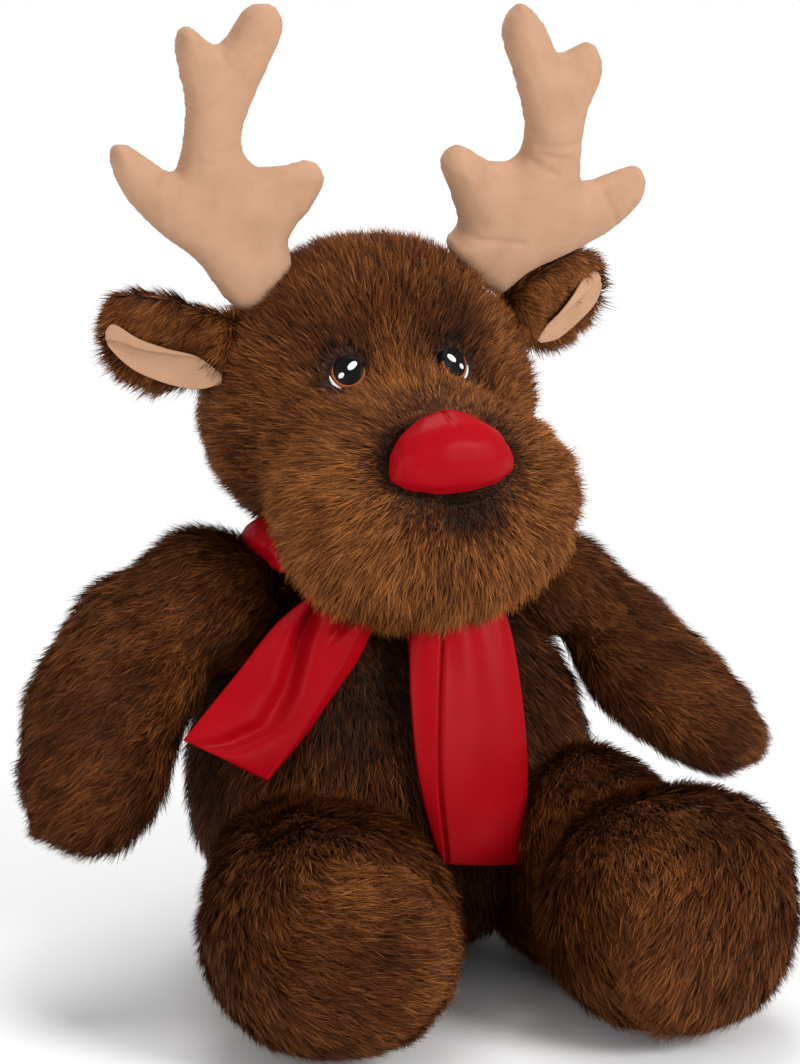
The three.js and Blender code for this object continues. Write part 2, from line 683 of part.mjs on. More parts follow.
function addHead() {
  const skullCover = skull(0, true).subtract(skull(-FUR_WALL, false));
  const [face, back] = panels(skullCover, vec(0, SKULL_Y, 0), FRONT);
  piece("face_panel", face, FUR);
  piece("head_back_panel", back, FUR);
  piece("head_stuffing", skull(-FUR_WALL - GAP, false), FILLING);
  const besideMouth = stuffed(mouthForm, { grow: GAP });
  piece("muzzle_cover", cut(muzzle(0, true), muzzle(-FUR_WALL, false), besideMouth), MUZZLE_FUR);
  piece("muzzle_stuffing", muzzle(-FUR_WALL - GAP, false), FILLING);
  piece("mouth_stitch", stuffed(mouthForm), THREAD);
}

function addNose() {
  const back = vec(0, NOSE_Y, NOSE_HEIGHT).addScaledVector(noseLook, -NOSE_BACK_DEPTH / 2);
  const open = beyond(back, noseLook.clone().negate());
  const core = (grow) => stuffed(noseForm, { grow, fine: false });
  piece("nose_cover", cut(stuffed(noseForm), core(-SATIN_WALL), open), SATIN);
  piece("nose_stuffing", core(-SATIN_WALL - GAP), FILLING);
}

// Each eye is a dark stitched patch with a brown rim round it, low on its outer side.
const eyeForm = (radius, bulge, outwards, down) => ({
  spine: [
    vec(EYE_SPREAD + outwards, EYE_Y - bulge, EYE_HEIGHT - down),
    vec(EYE_SPREAD + outwards, EYE_Y + EYE_RADIUS, EYE_HEIGHT - down),
  ],
  face: UP,
  halfWidth: radius,
  frontDepth: radius,
  backDepth: radius,
  blunt: 0.35,
  fine: [10, 4],
});
function addEyes(name, side) {
  const patch = eyeForm(EYE_RADIUS, EYE_BULGE, 0, 0);
  const rim = eyeForm(EYE_RADIUS + EYE_RIM, EYE_BULGE / 2, EYE_RIM / 2, EYE_RIM / 2);
  piece(name + "_eye_patch", stuffed(patch).subtract(besideSkull), EYE_BLACK, side);
  const besidePatch = stuffed(patch, { grow: GAP });
  piece(name + "_eye_rim", cut(stuffed(rim), besidePatch, besideSkull), EYE_BROWN, side);
}

function addAntler(name, side) {
  const pose = turnAbout(antlerRoot.centre, SIDEWAYS, ANTLERS[name].forward);
  const sways = [-ANTLER_SWAY, ANTLER_SWAY];
  const antler = (grow, fine) => cut(
    joined(antlerForms(ANTLERS[name]).map((form) => stuffed(form, { grow, pose, fine }))),
    roomOf(skullForm, antlerRoot, sways, SMALL_ROOT_CLEARANCE - grow, true),
  ).add(rootBall(antlerRoot, grow));
  const look = FRONT.clone().transformDirection(pose);
  const cover = antler(0, true).subtract(antler(-SUEDE_WALL, false));
  const [front, back] = panels(cover, antlerRoot.centre, look);
  piece(name + "_antler_front_panel", front, SUEDE, side);
  piece(name + "_antler_back_panel", back, SUEDE, side);
  piece(name + "_antler_stuffing", antler(-SUEDE_WALL - GAP, false), FILLING, side);
}

// An ear is not stuffed: a fur back with a suede lining sewn to its front.
function addEar(name, side) {
  const tip = earForm.spine.at(-1).clone().sub(earRoot.centre).normalize();
  const look = earForm.face.clone().projectOnPlane(tip).normalize();
  const seam = earForm.spine[1].clone().addScaledVector(look, EAR_LINING_SEAT);
  const room = roomOf(skullForm, earRoot, [-EAR_DROP, EAR_RISE], SMALL_ROOT_CLEARANCE, true);
  const [lining, back] = panels(stuffed(earForm).subtract(room), seam, look);
  piece(name + "_ear_fur", back.add(rootBall(earRoot)), FUR, side);
  piece(name + "_ear_lining", lining.subtract(rootBall(earRoot, GAP)), SUEDE, side);
}

const armSwings = [-ARM_BACK, 0, ARM_FORWARD / 3, (2 * ARM_FORWARD) / 3, ARM_FORWARD];
function addArm(name, side) {
  const form = armForm(name);
  const room = (grow) => roomOf(torsoForm, shoulder, armSwings, ROOT_CLEARANCE - grow);
  const arm = (grow, fine) => rooted(form, room(grow), shoulder, grow, fine);
  const paw = form.spine.at(-1).clone().sub(shoulder.centre);
  const cover = arm(0, true).subtract(arm(-FUR_WALL, false));
  const [front, back] = panels(cover, shoulder.centre, vec(-paw.y, paw.x, 0).negate());
  piece(name + "_arm_front_panel", front, FUR, side);
  piece(name + "_arm_back_panel", back, FUR, side);
  piece(name + "_arm_stuffing", arm(-FUR_WALL - GAP, false), FILLING, side);
}

function addLeg(name, side) {
  const foot = footForm(name);
  const besideFoot = stuffed(foot, { grow: GAP });
  const room = (grow) => roomOf(torsoForm, hip, [-LEG_INWARD, LEG_OUTWARD], ROOT_CLEARANCE - grow);
  const thigh = (grow, fine) => rooted(thighForm(name), room(grow), hip, grow, fine);
  const thighCover = cut(thigh(0, true), thigh(-FUR_WALL, false), besideFoot, floor);
  piece(name + "_thigh_cover", thighCover, FUR, side);
  piece(name + "_thigh_stuffing", cut(thigh(-FUR_WALL - GAP, false), besideFoot, floor), FILLING, side);
  const seam = footBack(name).addScaledVector(legWay, FOOT_LENGTH - SOLE_DEPTH);
  const cover = cut(stuffed(foot), stuffed(foot, { grow: -FUR_WALL, fine: false }), floor);
  const [sole, upper] = panels(cover, seam, legWay);
  piece(name + "_foot_sole", sole, FUR, side);
  piece(name + "_foot_upper", upper, FUR, side);
  piece(name + "_foot_stuffing", stuffed(foot, { grow: -FUR_WALL - GAP, fine: false }), FILLING, side);
}

// The scarf
const torsoRoom = stuffed(torsoForm, { grow: GAP });
const armRooms = [["right", -1], ["left", 1]].map(([name, side]) => {
  const path = pathOf(armForm(name), shoulder, armSwings, ARM_CLEARANCE, true);
  const room = path.add(rootBall(shoulder, ARM_CLEARANCE));
  return side < 0 ? room.mirror([1, 0, 0]) : room;
});
const besideScarf = [torsoRoom, headRoom(HEAD_CLEARANCE), ...armRooms];

function addScarf() {
  piece("scarf_knot", cut(stuffed(knotForm), ...besideScarf), SATIN);
  const besideKnot = stuffed(knotForm, { grow: GAP });
  piece("scarf_neck_band", cut(stuffed(bandForm), besideKnot, ...besideScarf), SATIN);
}

// One hanging end of the scarf: a flat satin tube with folds, between its two edges.
function scarfEnd(rows) {
  const edges = [0, 1].map((edge) => new THREE.CatmullRomCurve3(rows.map((row) => fromKnot(row[edge]))));
  const columns = SCARF_END_FOLD_SHARES.length;
  const sheet = (forward) => {
    const points = [];
    for (let row = 0; row < SCARF_END_ROWS; row++) {
      const place = row / (SCARF_END_ROWS - 1);
      const [from, to] = edges.map((edge) => edge.getPoint(place));
      for (let column = 0; column < columns; column++) {
        const fold = SCARF_END_FOLD_SHARES[column] * SCARF_END_FOLD;
        const ahead = forward * (1 + fold / SCARF_END_THICKNESS);
        points.push(from.clone().lerp(to, column / (columns - 1)).addScaledVector(FRONT, ahead));
      }
    }
    return points;
  };
  const points = [...sheet(SCARF_END_THICKNESS), ...sheet(0)];
  const half = points.length / 2;
  const at = (layer, row, column) => layer * half + row * columns + column;
  const faces = [];
  const quad = (a, b, c, d) => faces.push(a, b, c, a, c, d);
  for (let row = 0; row + 1 < SCARF_END_ROWS; row++) {
    for (let column = 0; column + 1 < columns; column++) {
      const corners = (layer) => [
        at(layer, row, column),
        at(layer, row + 1, column),
        at(layer, row + 1, column + 1),
        at(layer, row, column + 1),
      ];
      const [first, ...others] = corners(1);
      quad(...corners(0));
      quad(first, ...others.reverse());
    }
    quad(at(0, row, 0), at(1, row, 0), at(1, row + 1, 0), at(0, row + 1, 0));
    const last = columns - 1;
    quad(at(0, row, last), at(0, row + 1, last), at(1, row + 1, last), at(1, row, last));
  }
  for (let column = 0; column + 1 < columns; column++) {
    quad(at(0, 0, column), at(0, 0, column + 1), at(1, 0, column + 1), at(1, 0, column));
    const last = SCARF_END_ROWS - 1;
    quad(at(0, last, column), at(1, last, column), at(1, last, column + 1), at(0, last, column + 1));
  }
  return solidFrom(points, faces);
}

function addScarfEnds() {
  for (const [name, rows] of Object.entries(SCARF_ENDS)) {
    const besideKnot = stuffed(knotForm, { grow: KNOT_CLEARANCE });
    const besideBand = stuffed(bandForm, { grow: KNOT_CLEARANCE });
    const end = cut(scarfEnd(rows), besideKnot, besideBand, ...besideScarf);
    piece(name + "_scarf_end", end, SATIN);
  }
}

addTorso();
addTail();
addNeck();
addHead();
addNose();
for (const [name, side] of [["right", -1], ["left", 1]]) {
  addEyes(name, side);
  addAntler(name, side);
  addEar(name, side);
  addArm(name, side);
  addLeg(name, side);
}
addScarf();
addScarfEnds();

export default deer;
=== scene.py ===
# %% [markdown]
# # A plush deer, dressed on its frame
#
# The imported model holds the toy's solids: fur covers, stuffing, suede antlers, a satin nose
# and a scarf. They have the right places and sizes, but they are faceted and bare. This
# lesson dresses them: each soft body gets one smooth skin, the skins of the fur parts grow
# a pile of strands, and suede, satin and stitched thread get their own shapes and finishes.

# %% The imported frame
import json
import math

import bmesh
import bpy
import numpy as np
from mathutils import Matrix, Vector, geometry, kdtree, noise


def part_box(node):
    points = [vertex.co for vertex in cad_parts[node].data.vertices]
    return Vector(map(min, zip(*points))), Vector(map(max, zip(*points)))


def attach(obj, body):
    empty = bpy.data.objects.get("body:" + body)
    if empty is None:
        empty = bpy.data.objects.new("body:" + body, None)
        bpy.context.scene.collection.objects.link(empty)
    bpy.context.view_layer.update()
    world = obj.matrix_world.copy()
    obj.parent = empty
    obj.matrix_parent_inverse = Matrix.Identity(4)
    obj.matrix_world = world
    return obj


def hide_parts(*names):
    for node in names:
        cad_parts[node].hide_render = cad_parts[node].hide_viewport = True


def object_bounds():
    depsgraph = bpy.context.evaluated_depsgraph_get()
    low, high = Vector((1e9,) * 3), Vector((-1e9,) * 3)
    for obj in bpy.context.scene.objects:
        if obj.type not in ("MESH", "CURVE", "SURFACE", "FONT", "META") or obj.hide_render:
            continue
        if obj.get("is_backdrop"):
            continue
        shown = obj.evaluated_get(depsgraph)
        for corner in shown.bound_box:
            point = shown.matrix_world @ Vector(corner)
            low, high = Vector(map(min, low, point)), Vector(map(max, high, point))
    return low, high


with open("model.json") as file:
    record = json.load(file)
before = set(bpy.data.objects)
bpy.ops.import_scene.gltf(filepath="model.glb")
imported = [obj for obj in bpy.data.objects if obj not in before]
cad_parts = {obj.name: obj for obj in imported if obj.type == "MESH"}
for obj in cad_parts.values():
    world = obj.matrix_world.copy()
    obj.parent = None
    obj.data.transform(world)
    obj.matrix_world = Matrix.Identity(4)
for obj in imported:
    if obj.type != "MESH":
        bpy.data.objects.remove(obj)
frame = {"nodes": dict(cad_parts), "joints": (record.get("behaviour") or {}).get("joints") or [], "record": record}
cad_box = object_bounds()

MM = 0.001
SIDES = {"right": -1.0, "left": 1.0}
X, Y, Z = np.eye(3)
bodies = frame["record"]["behaviour"]["bodies"]
pivots = {joint["child"]: np.array(joint["pos_m"]) for joint in frame["joints"]}


def in_scene(name, data):
    """A new object of the scene, untransformed, with its data."""
    thing = bpy.data.objects.new(name, data)
    bpy.context.scene.collection.objects.link(thing)
    return thing


def mesh_of(name, shape):
    """A mesh with the faces of an edit mesh, which is freed."""
    mesh = bpy.data.meshes.new(name)
    shape.to_mesh(mesh)
    shape.free()
    return mesh


# %% [markdown]
# ## The camera
#
# The toy was photographed from a little to its right and from above. A short lens close by
# would swell the paws. A long lens from two metres keeps paws and antlers in the proportion
# that the photograph shows. The picture's middle falls on a point inside the chest.

# %% The camera
PHOTO_HEIGHT = 1064
PIXELS_PER_METRE = 1900
CAMERA_AZIMUTH = math.radians(-21)
CAMERA_ELEVATION = math.radians(14)
CAMERA_DISTANCE = 2.0
CHEST_ABOVE_SEAT = 219 * MM
SENSOR = 36
CLIP_SPAN = 100

towards_camera = np.array([
    math.sin(CAMERA_AZIMUTH) * math.cos(CAMERA_ELEVATION),
    -math.cos(CAMERA_AZIMUTH) * math.cos(CAMERA_ELEVATION),
    math.sin(CAMERA_ELEVATION),
])
camera_right = np.cross(Z, towards_camera)
camera_right /= np.linalg.norm(camera_right)
camera_up = np.cross(towards_camera, camera_right)
chest = camera_up * CHEST_ABOVE_SEAT


def look(thing, place, towards):
    """Puts a camera or a lamp at a place, looking towards another."""
    thing.location = place
    way = Vector(np.subtract(towards, place))
    thing.rotation_euler = way.to_track_quat("-Z", "Y").to_euler()


lens = bpy.data.cameras.new("camera")
lens.sensor_width = SENSOR
lens.lens = SENSOR * CAMERA_DISTANCE * PIXELS_PER_METRE / PHOTO_HEIGHT
lens.clip_start = CAMERA_DISTANCE / CLIP_SPAN
lens.clip_end = CAMERA_DISTANCE * CLIP_SPAN
camera = in_scene("camera", lens)
bpy.context.scene.camera = camera
look(camera, chest + towards_camera * CAMERA_DISTANCE, chest)
print("camera at", [round(c, 3) for c in camera.location], "with a lens of", round(lens.lens, 1), "mm")

# %% [markdown]
# ## Finishes
#
# A finish is a tree of shader nodes. It could be painted on an image, but a tree stays sharp
# at every distance. Each one here starts from the same shader, whose even values, such as
# its roughness and sheen, sit on its own sockets. Only what varies over the surface, its
# colour and its bump, comes through nodes.


# %% Helpers for finishes
def finish_named(name, **even):
    """A new material, its node tree and its shader, with the shader's even values set."""
    material = bpy.data.materials.new(name)
    material.use_nodes = True
    tree = material.node_tree
    shader = tree.nodes["Principled BSDF"]
    for socket, value in even.items():
        title = socket.replace("_", " ").title().replace("Ior", "IOR")
        shader.inputs[title].default_value = value
    return material, tree, shader


def node(tree, kind, **settings):
    """A node of a kind. A setting is a node's own option, an input's value or a link to it.

    An input goes by its name, or by its place where an underscore and a number are given.
    """
    made = tree.nodes.new(kind)
    for key, value in settings.items():
        if hasattr(made, key):
            setattr(made, key, value)
            continue
        name = key[1:]
        socket = made.inputs[int(name)] if name.isdigit() else made.inputs[key.replace("_", " ")]
        if isinstance(value, bpy.types.NodeSocket):
            tree.links.new(value, socket)
        else:
            socket.default_value = value
    return made


def ramp(tree, share, stops):
    """A colour ramp from (place, colour) stops."""
    made = node(tree, "ShaderNodeValToRGB", _0=share)
    elements = made.color_ramp.elements
    while len(elements) < len(stops):
        elements.new(1)
    for element, (place, colour) in zip(elements, stops):
        element.position = place
        element.color = (*colour, 1)
    return made.outputs["Color"]


# %% [markdown]
# ## The fur's finish
#
# A fibre is painted darkest at its root, as the shade of its neighbours, and palest at its tip,
# which is partly the fibre's own paler tip and partly painted rim light. Neighbouring fibres
# differ in tone. Both come from the strand's own map:
# across it runs the tone, and up it runs from root to tip. Under the fibres lies a dark
# knitted backing.

# %% The fur's finish
FUR_TONES = [
    (0.0, (0.011, 0.0034, 0.0011)),
    (0.5, (0.093, 0.0245, 0.0062)),
    (1.0, (0.38, 0.135, 0.036)),
]
# Painted shade at the roots; at the tips, the fibres' paler colour and painted rim light.
ROOT_SHADE_TO_LIT_TIP = [
    (0.0, (0.22, 0.2, 0.2)),
    (0.5, (0.8, 0.78, 0.76)),
    (0.85, (1.2, 1.22, 1.15)),
    (1.0, (2.1, 2.2, 1.8)),
]
BACKING_TONES = [(0.3, (0.012, 0.004, 0.002)), (0.7, (0.03, 0.011, 0.004))]
BACKING_GRAIN = 2.5 * MM


def fur_finish():
    """The strands' finish: their own tone times a ramp from root to tip, of painted shade at the root and, at the
    tip, the fibres' paler colour with painted rim light.
    """
    material, tree, shader = finish_named("fur", roughness=0.55, specular_ior_level=0.08)
    place = node(tree, "ShaderNodeUVMap", uv_map="OFBake")
    parts = node(tree, "ShaderNodeSeparateXYZ", _0=place.outputs[0])
    tone = ramp(tree, parts.outputs["X"], FUR_TONES)
    along = ramp(tree, parts.outputs["Y"], ROOT_SHADE_TO_LIT_TIP)
    shaded = node(tree, "ShaderNodeMix", data_type="RGBA", blend_type="MULTIPLY", _0=1, _6=tone, _7=along)
    tree.links.new(shaded.outputs[2], shader.inputs["Base Color"])
    return material


def backing_finish():
    """The knitted backing under the strands."""
    material, tree, shader = finish_named("fur backing", roughness=0.9)
    place = node(tree, "ShaderNodeTexCoord").outputs["Object"]
    grain = node(tree, "ShaderNodeTexNoise", Scale=1 / BACKING_GRAIN, Detail=3.0, Vector=place)
    tree.links.new(ramp(tree, grain.outputs["Fac"], BACKING_TONES), shader.inputs["Base Color"])
    return material


fur = fur_finish()
backing = backing_finish()
print("finishes:", fur.name, "and", backing.name)

# %% [markdown]
# ## Skins
#
# A stuffed body has a cover and a filling, which the frame holds as separate solids. From
# outside they are one soft form. A cloth simulation could blow the cover up, but it would
# lose the outline that the solids already have. So a copy of them is given an even grid of
# small faces by a voxel remesh, which also drops everything inside, and is then smoothed,
# so that the frame's flat facets turn into the round of a stuffed toy.


# %% Points and directions of a mesh
def points_of(mesh):
    """A mesh's points as rows."""
    flat = np.zeros(len(mesh.vertices) * 3)
    mesh.vertices.foreach_get("co", flat)
    return flat.reshape(-1, 3)


def normals_of(mesh):
    """The outward direction at each point of a mesh."""
    flat = np.zeros(len(mesh.vertices) * 3, np.float32)
    mesh.vertex_normals.foreach_get("vector", flat)
    return flat.reshape(-1, 3).astype(float)


def move_points(mesh, points):
    """Puts a mesh's points at new places."""
    mesh.vertices.foreach_set("co", np.asarray(points, np.float32).ravel())
    mesh.update()


def tangent(ways, normals):
    """The part of each way that lies along the surface, with a length of one."""
    along = ways - (ways * normals).sum(1, keepdims=True) * normals
    return along / np.maximum(np.linalg.norm(along, axis=1, keepdims=True), 1e-6)


# %% Shares that fade
def smoothly(values, start, end):
    """0 before start, 1 after end, and a soft step between."""
    share = np.clip((values - start) / (end - start), 0, 1)
    return share * share * (3 - 2 * share)


def valley(values, middle, half_width):
    """1 along a line and 0 away from it."""
    return np.exp(-(((values - middle) / half_width) ** 2))


def near(points, place, inner, outer):
    """1 within the inner distance of a place, and 0 beyond the outer one."""
    return 1 - smoothly(np.linalg.norm(points - place, axis=1), inner, outer)


def mottled(points, size, seed):
    """Soft random patches over some points, from -1 to 1."""
    apart = seed * Z * 7.3
    return np.array([noise.noise(p / size + apart) for p in points])


# %% Skins from the frame's solids
SKIN_GRAIN = 4 * MM
SKIN_ROUNDS = 14
PILE_LENGTH = 15 * MM
FLOOR_GAP = 1.5 * MM


def applied(thing):
    """Turns a thing with its modifiers into a plain mesh."""
    seen = thing.evaluated_get(bpy.context.evaluated_depsgraph_get())
    mesh = bpy.data.meshes.new_from_object(seen)
    thing.modifiers.clear()
    thing.data = mesh


def soften(thing, rounds):
    """Smooths a thing by some rounds, and leaves a plain mesh."""
    rounding = thing.modifiers.new("rounding", "SMOOTH")
    rounding.iterations = rounds
    rounding.factor = 0.5
    applied(thing)


def regrid(skin, title, grain):
    """Gives a skin an even grid of small faces."""
    even = skin.modifiers.new(title, "REMESH")
    even.mode = "VOXEL"
    even.voxel_size = grain


def swell(skin, title, depth):
    """Moves a skin outwards by a depth, after a light smoothing."""
    smoothed = skin.modifiers.new("soften " + title, "SMOOTH")
    smoothed.iterations = 3
    step = skin.modifiers.new(title, "DISPLACE")
    step.strength = depth
    step.mid_level = 0


def largest_only(mesh):
    """Keeps the largest closed surface of a mesh, and drops what lies inside it."""
    shape = bmesh.new()
    shape.from_mesh(mesh)
    shape.verts.ensure_lookup_table()
    seen = set()
    islands = []
    for start in shape.verts:
        if start.index in seen:
            continue
        seen.add(start.index)
        island = [start]
        for vertex in island:
            for edge in vertex.link_edges:
                other = edge.other_vert(vertex)
                if other.index not in seen:
                    seen.add(other.index)
                    island.append(other)
        islands.append(island)
    islands.sort(key=len)
    for island in islands[:-1]:
        bmesh.ops.delete(shape, geom=island, context="VERTS")
    shape.to_mesh(mesh)
    shape.free()


def skin_over(name, nodes, grain, rounds, closing=0.0):
    """One closed, smoothed skin over copies of some of the frame's solids.

    Where a closing depth is given, the skin swells by it, is remade and shrinks back, which
    fills the creases between the solids.
    """
    shape = bmesh.new()
    for solid in nodes:
        shape.from_mesh(frame["nodes"][solid].data)
    bmesh.ops.remove_doubles(shape, verts=shape.verts, dist=0.01 * MM)
    skin = in_scene(name, mesh_of(name, shape))
    regrid(skin, "even grid", grain)
    if closing:
        swell(skin, "swell", closing)
        regrid(skin, "remade", grain)
        swell(skin, "shrink", -closing)
    soften(skin, rounds)
    largest_only(skin.data)
    skin.data.shade_smooth()
    return skin


def inset(skin, depth):
    """Moves a skin inwards, by one depth or by one for each point, to leave room for the pile."""
    points = points_of(skin.data)
    points = points - normals_of(skin.data) * np.reshape(depth, (-1, 1))
    points[:, 2] = np.maximum(points[:, 2], FLOOR_GAP)
    move_points(skin.data, points)
    return points_of(skin.data), normals_of(skin.data)


def shaped(skin, moves):
    """Moves a skin near some places, each over a reach, as a hand would shape it."""
    points = points_of(skin.data)
    made = points.copy()
    for place, reach, move in moves:
        share = near(points, np.array(place) * MM, 0, reach * MM)
        made += np.outer(share, np.array(move) * MM)
    move_points(skin.data, made)


def dress(skin, body, replaced, finish):
    """A finished skin rides on its body and stands for the frame's solids."""
    skin.data.materials.clear()
    skin.data.materials.append(finish)
    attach(skin, body)
    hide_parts(*replaced)


print("skins are gridded every", SKIN_GRAIN / MM, "mm and smoothed", SKIN_ROUNDS, "times")

# %% [markdown]
# ## The pile
#
# Fur fabric is a knitted backing with a brushed pile of fibres. Hair curves can't leave this
# file as a mesh, so each fibre is a narrow blade that bends over. A Geometry Nodes tree
# scatters points on the skin, stands one blade on each and leans it along the way that the
# fabric was brushed. Noise pulls neighbours together, which gives the clumps and partings
# of real plush. The skin carries the brushing as values at each point: its way, the
# fibres' length, their tone, and how much of the skin they cover.

# %% Small parts of the pile's tree
BLADE_BEND = 0.3
BLADE_DROOP = 0.1
BLADE_TAPER = 2.5
BLADE_LENGTHS = (0.62, 1.12)
BLADE_WIDTHS = (0.6, 1.4)
BLADE_TONES = (-0.24, 0.24)
TWIST = 0.7
STRAY = 0.17
TUFT_CONTRAST = 0.9
TONE_LIMITS = {"Min": 0.01, "Max": 0.97}
TONE_ACROSS = 0.02
PILE_INPUTS = {
    "Skin": "NodeSocketGeometry",
    "Density": "NodeSocketFloat",
    "Blade width": "NodeSocketFloat",
    "Lean": "NodeSocketFloat",
    "Clump size": "NodeSocketFloat",
    "Clump pull": "NodeSocketFloat",
    "Tuft size": "NodeSocketFloat",
    "Seed": "NodeSocketInt",
    "Finish": "NodeSocketMaterial",
}


def value(tree, kind, name):
    """A value that the points carry under a name."""
    return node(tree, "GeometryNodeInputNamedAttribute", data_type=kind, Name=name).outputs["Attribute"]


def stored(tree, kind, domain, name, shape, content):
    """A shape whose points, corners or copies carry one more value."""
    made = node(tree, "GeometryNodeStoreNamedAttribute", data_type=kind, domain=domain, Name=name,
                Geometry=shape, Value=content)
    return made.outputs[0]


def number(tree, operation, first, second):
    """Two numbers put together."""
    return node(tree, "ShaderNodeMath", operation=operation, _0=first, _1=second).outputs[0]


def vector(tree, operation, first, second):
    """Two vectors put together."""
    return node(tree, "ShaderNodeVectorMath", operation=operation, _0=first, _1=second).outputs[0]


def scaled(tree, first, scale):
    """A vector times a number."""
    return node(tree, "ShaderNodeVectorMath", operation="SCALE", _0=first, Scale=scale).outputs[0]


def chance(tree, given, limits, salt):
    """A random number between two limits, from the tree's seed and a salt of its own."""
    seed = number(tree, "ADD", given.outputs["Seed"], float(salt))
    made = node(tree, "FunctionNodeRandomValue", data_type="FLOAT", _2=limits[0], _3=limits[1], Seed=seed)
    return made.outputs[1]


def clouds(tree, size, detail):
    """Soft noise whose patches have a given size."""
    scale = number(tree, "DIVIDE", 1.0, size)
    return node(tree, "ShaderNodeTexNoise", noise_dimensions="3D", Detail=detail, Scale=scale)


# %% The tree that grows a pile
def blade_in(tree):
    """The blade: a strip of unit length that narrows to a point and bends over."""
    strip = node(tree, "GeometryNodeMeshGrid", Size_X=1.0, Size_Y=1.0, Vertices_X=3, Vertices_Y=2)
    place = node(tree, "ShaderNodeSeparateXYZ", _0=node(tree, "GeometryNodeInputPosition").outputs[0])
    along = number(tree, "ADD", place.outputs["X"], 0.5)
    across = number(tree, "ADD", place.outputs["Y"], 0.5)
    shape = stored(tree, "FLOAT", "POINT", "along", strip.outputs["Mesh"], along)
    shape = stored(tree, "FLOAT", "POINT", "across", shape, across)
    up = value(tree, "FLOAT", "along")
    bend = number(tree, "MULTIPLY", number(tree, "POWER", up, 2.0), BLADE_BEND)
    aside = number(tree, "SUBTRACT", value(tree, "FLOAT", "across"), 0.5)
    narrowed = number(tree, "SUBTRACT", 1.0, number(tree, "POWER", up, BLADE_TAPER))
    width = number(tree, "MULTIPLY", aside, narrowed)
    drooped = number(tree, "SUBTRACT", 1.0, number(tree, "MULTIPLY", up, BLADE_DROOP))
    height = number(tree, "MULTIPLY", up, drooped)
    curved = node(tree, "ShaderNodeCombineXYZ", X=bend, Y=width, Z=height)
    bent = node(tree, "GeometryNodeSetPosition", Geometry=shape, Position=curved.outputs[0])
    return node(tree, "GeometryNodeMergeByDistance", Geometry=bent.outputs[0], Distance=0.001).outputs[0]


def roots_in(tree, given):
    """The points that the blades stand on, each with its outward direction."""
    cover = number(tree, "MULTIPLY", given.outputs["Density"], value(tree, "FLOAT", "cover"))
    points = node(tree, "GeometryNodeDistributePointsOnFaces", distribute_method="RANDOM",
                  Mesh=given.outputs["Skin"], Density=cover, Seed=given.outputs["Seed"])
    return stored(tree, "FLOAT_VECTOR", "POINT", "out", points.outputs["Points"], points.outputs["Normal"])


def turn_in(tree, given):
    """How each blade is turned: out of the skin, along the brushing and with its clump."""
    brushed = value(tree, "FLOAT_VECTOR", "flow")
    clumps = clouds(tree, given.outputs["Clump size"], 1.5)
    centred = vector(tree, "SUBTRACT", clumps.outputs["Color"], (0.5, 0.5, 0.5))
    clump = scaled(tree, centred, given.outputs["Clump pull"])
    stray = node(tree, "FunctionNodeRandomValue", data_type="FLOAT_VECTOR",
                 _0=(-STRAY, -STRAY, -STRAY), _1=(STRAY, STRAY, STRAY)).outputs[0]
    lean = scaled(tree, brushed, given.outputs["Lean"])
    out = vector(tree, "ADD", value(tree, "FLOAT_VECTOR", "out"), lean)
    way = vector(tree, "ADD", vector(tree, "ADD", out, clump), stray)
    flat = vector(tree, "ADD", brushed, vector(tree, "ADD", clump, stray))
    turn = node(tree, "FunctionNodeAxesToRotation", primary_axis="Z", secondary_axis="X", _0=way, _1=flat)
    angle = chance(tree, given, (-TWIST, TWIST), 3)
    twist = node(tree, "FunctionNodeAxisAngleToRotation", Axis=(0.0, 0.0, 1.0), Angle=angle)
    return node(tree, "FunctionNodeRotateRotation", rotation_space="LOCAL",
                _0=turn.outputs[0], _1=twist.outputs[0]).outputs[0]


def shade_in(tree, given):
    """Each blade's tone: the skin's, the tuft's and a little of its own."""
    tufts = clouds(tree, given.outputs["Tuft size"], 1.0)
    tuft = number(tree, "MULTIPLY", number(tree, "SUBTRACT", tufts.outputs["Fac"], 0.5), TUFT_CONTRAST)
    shared = number(tree, "ADD", value(tree, "FLOAT", "tone"), tuft)
    return number(tree, "ADD", shared, chance(tree, given, BLADE_TONES, 11))


def mapped_in(tree, shape):
    """Maps every blade: across is its tone, and up runs from its root to its tip."""
    tone = node(tree, "ShaderNodeClamp", Value=value(tree, "FLOAT", "shade"), **TONE_LIMITS)
    aside = number(tree, "MULTIPLY", value(tree, "FLOAT", "across"), TONE_ACROSS)
    spread = number(tree, "ADD", tone.outputs[0], aside)
    spot = node(tree, "ShaderNodeCombineXYZ", X=spread, Y=value(tree, "FLOAT", "along"))
    return stored(tree, "FLOAT2", "CORNER", "OFBake", shape, spot.outputs[0])


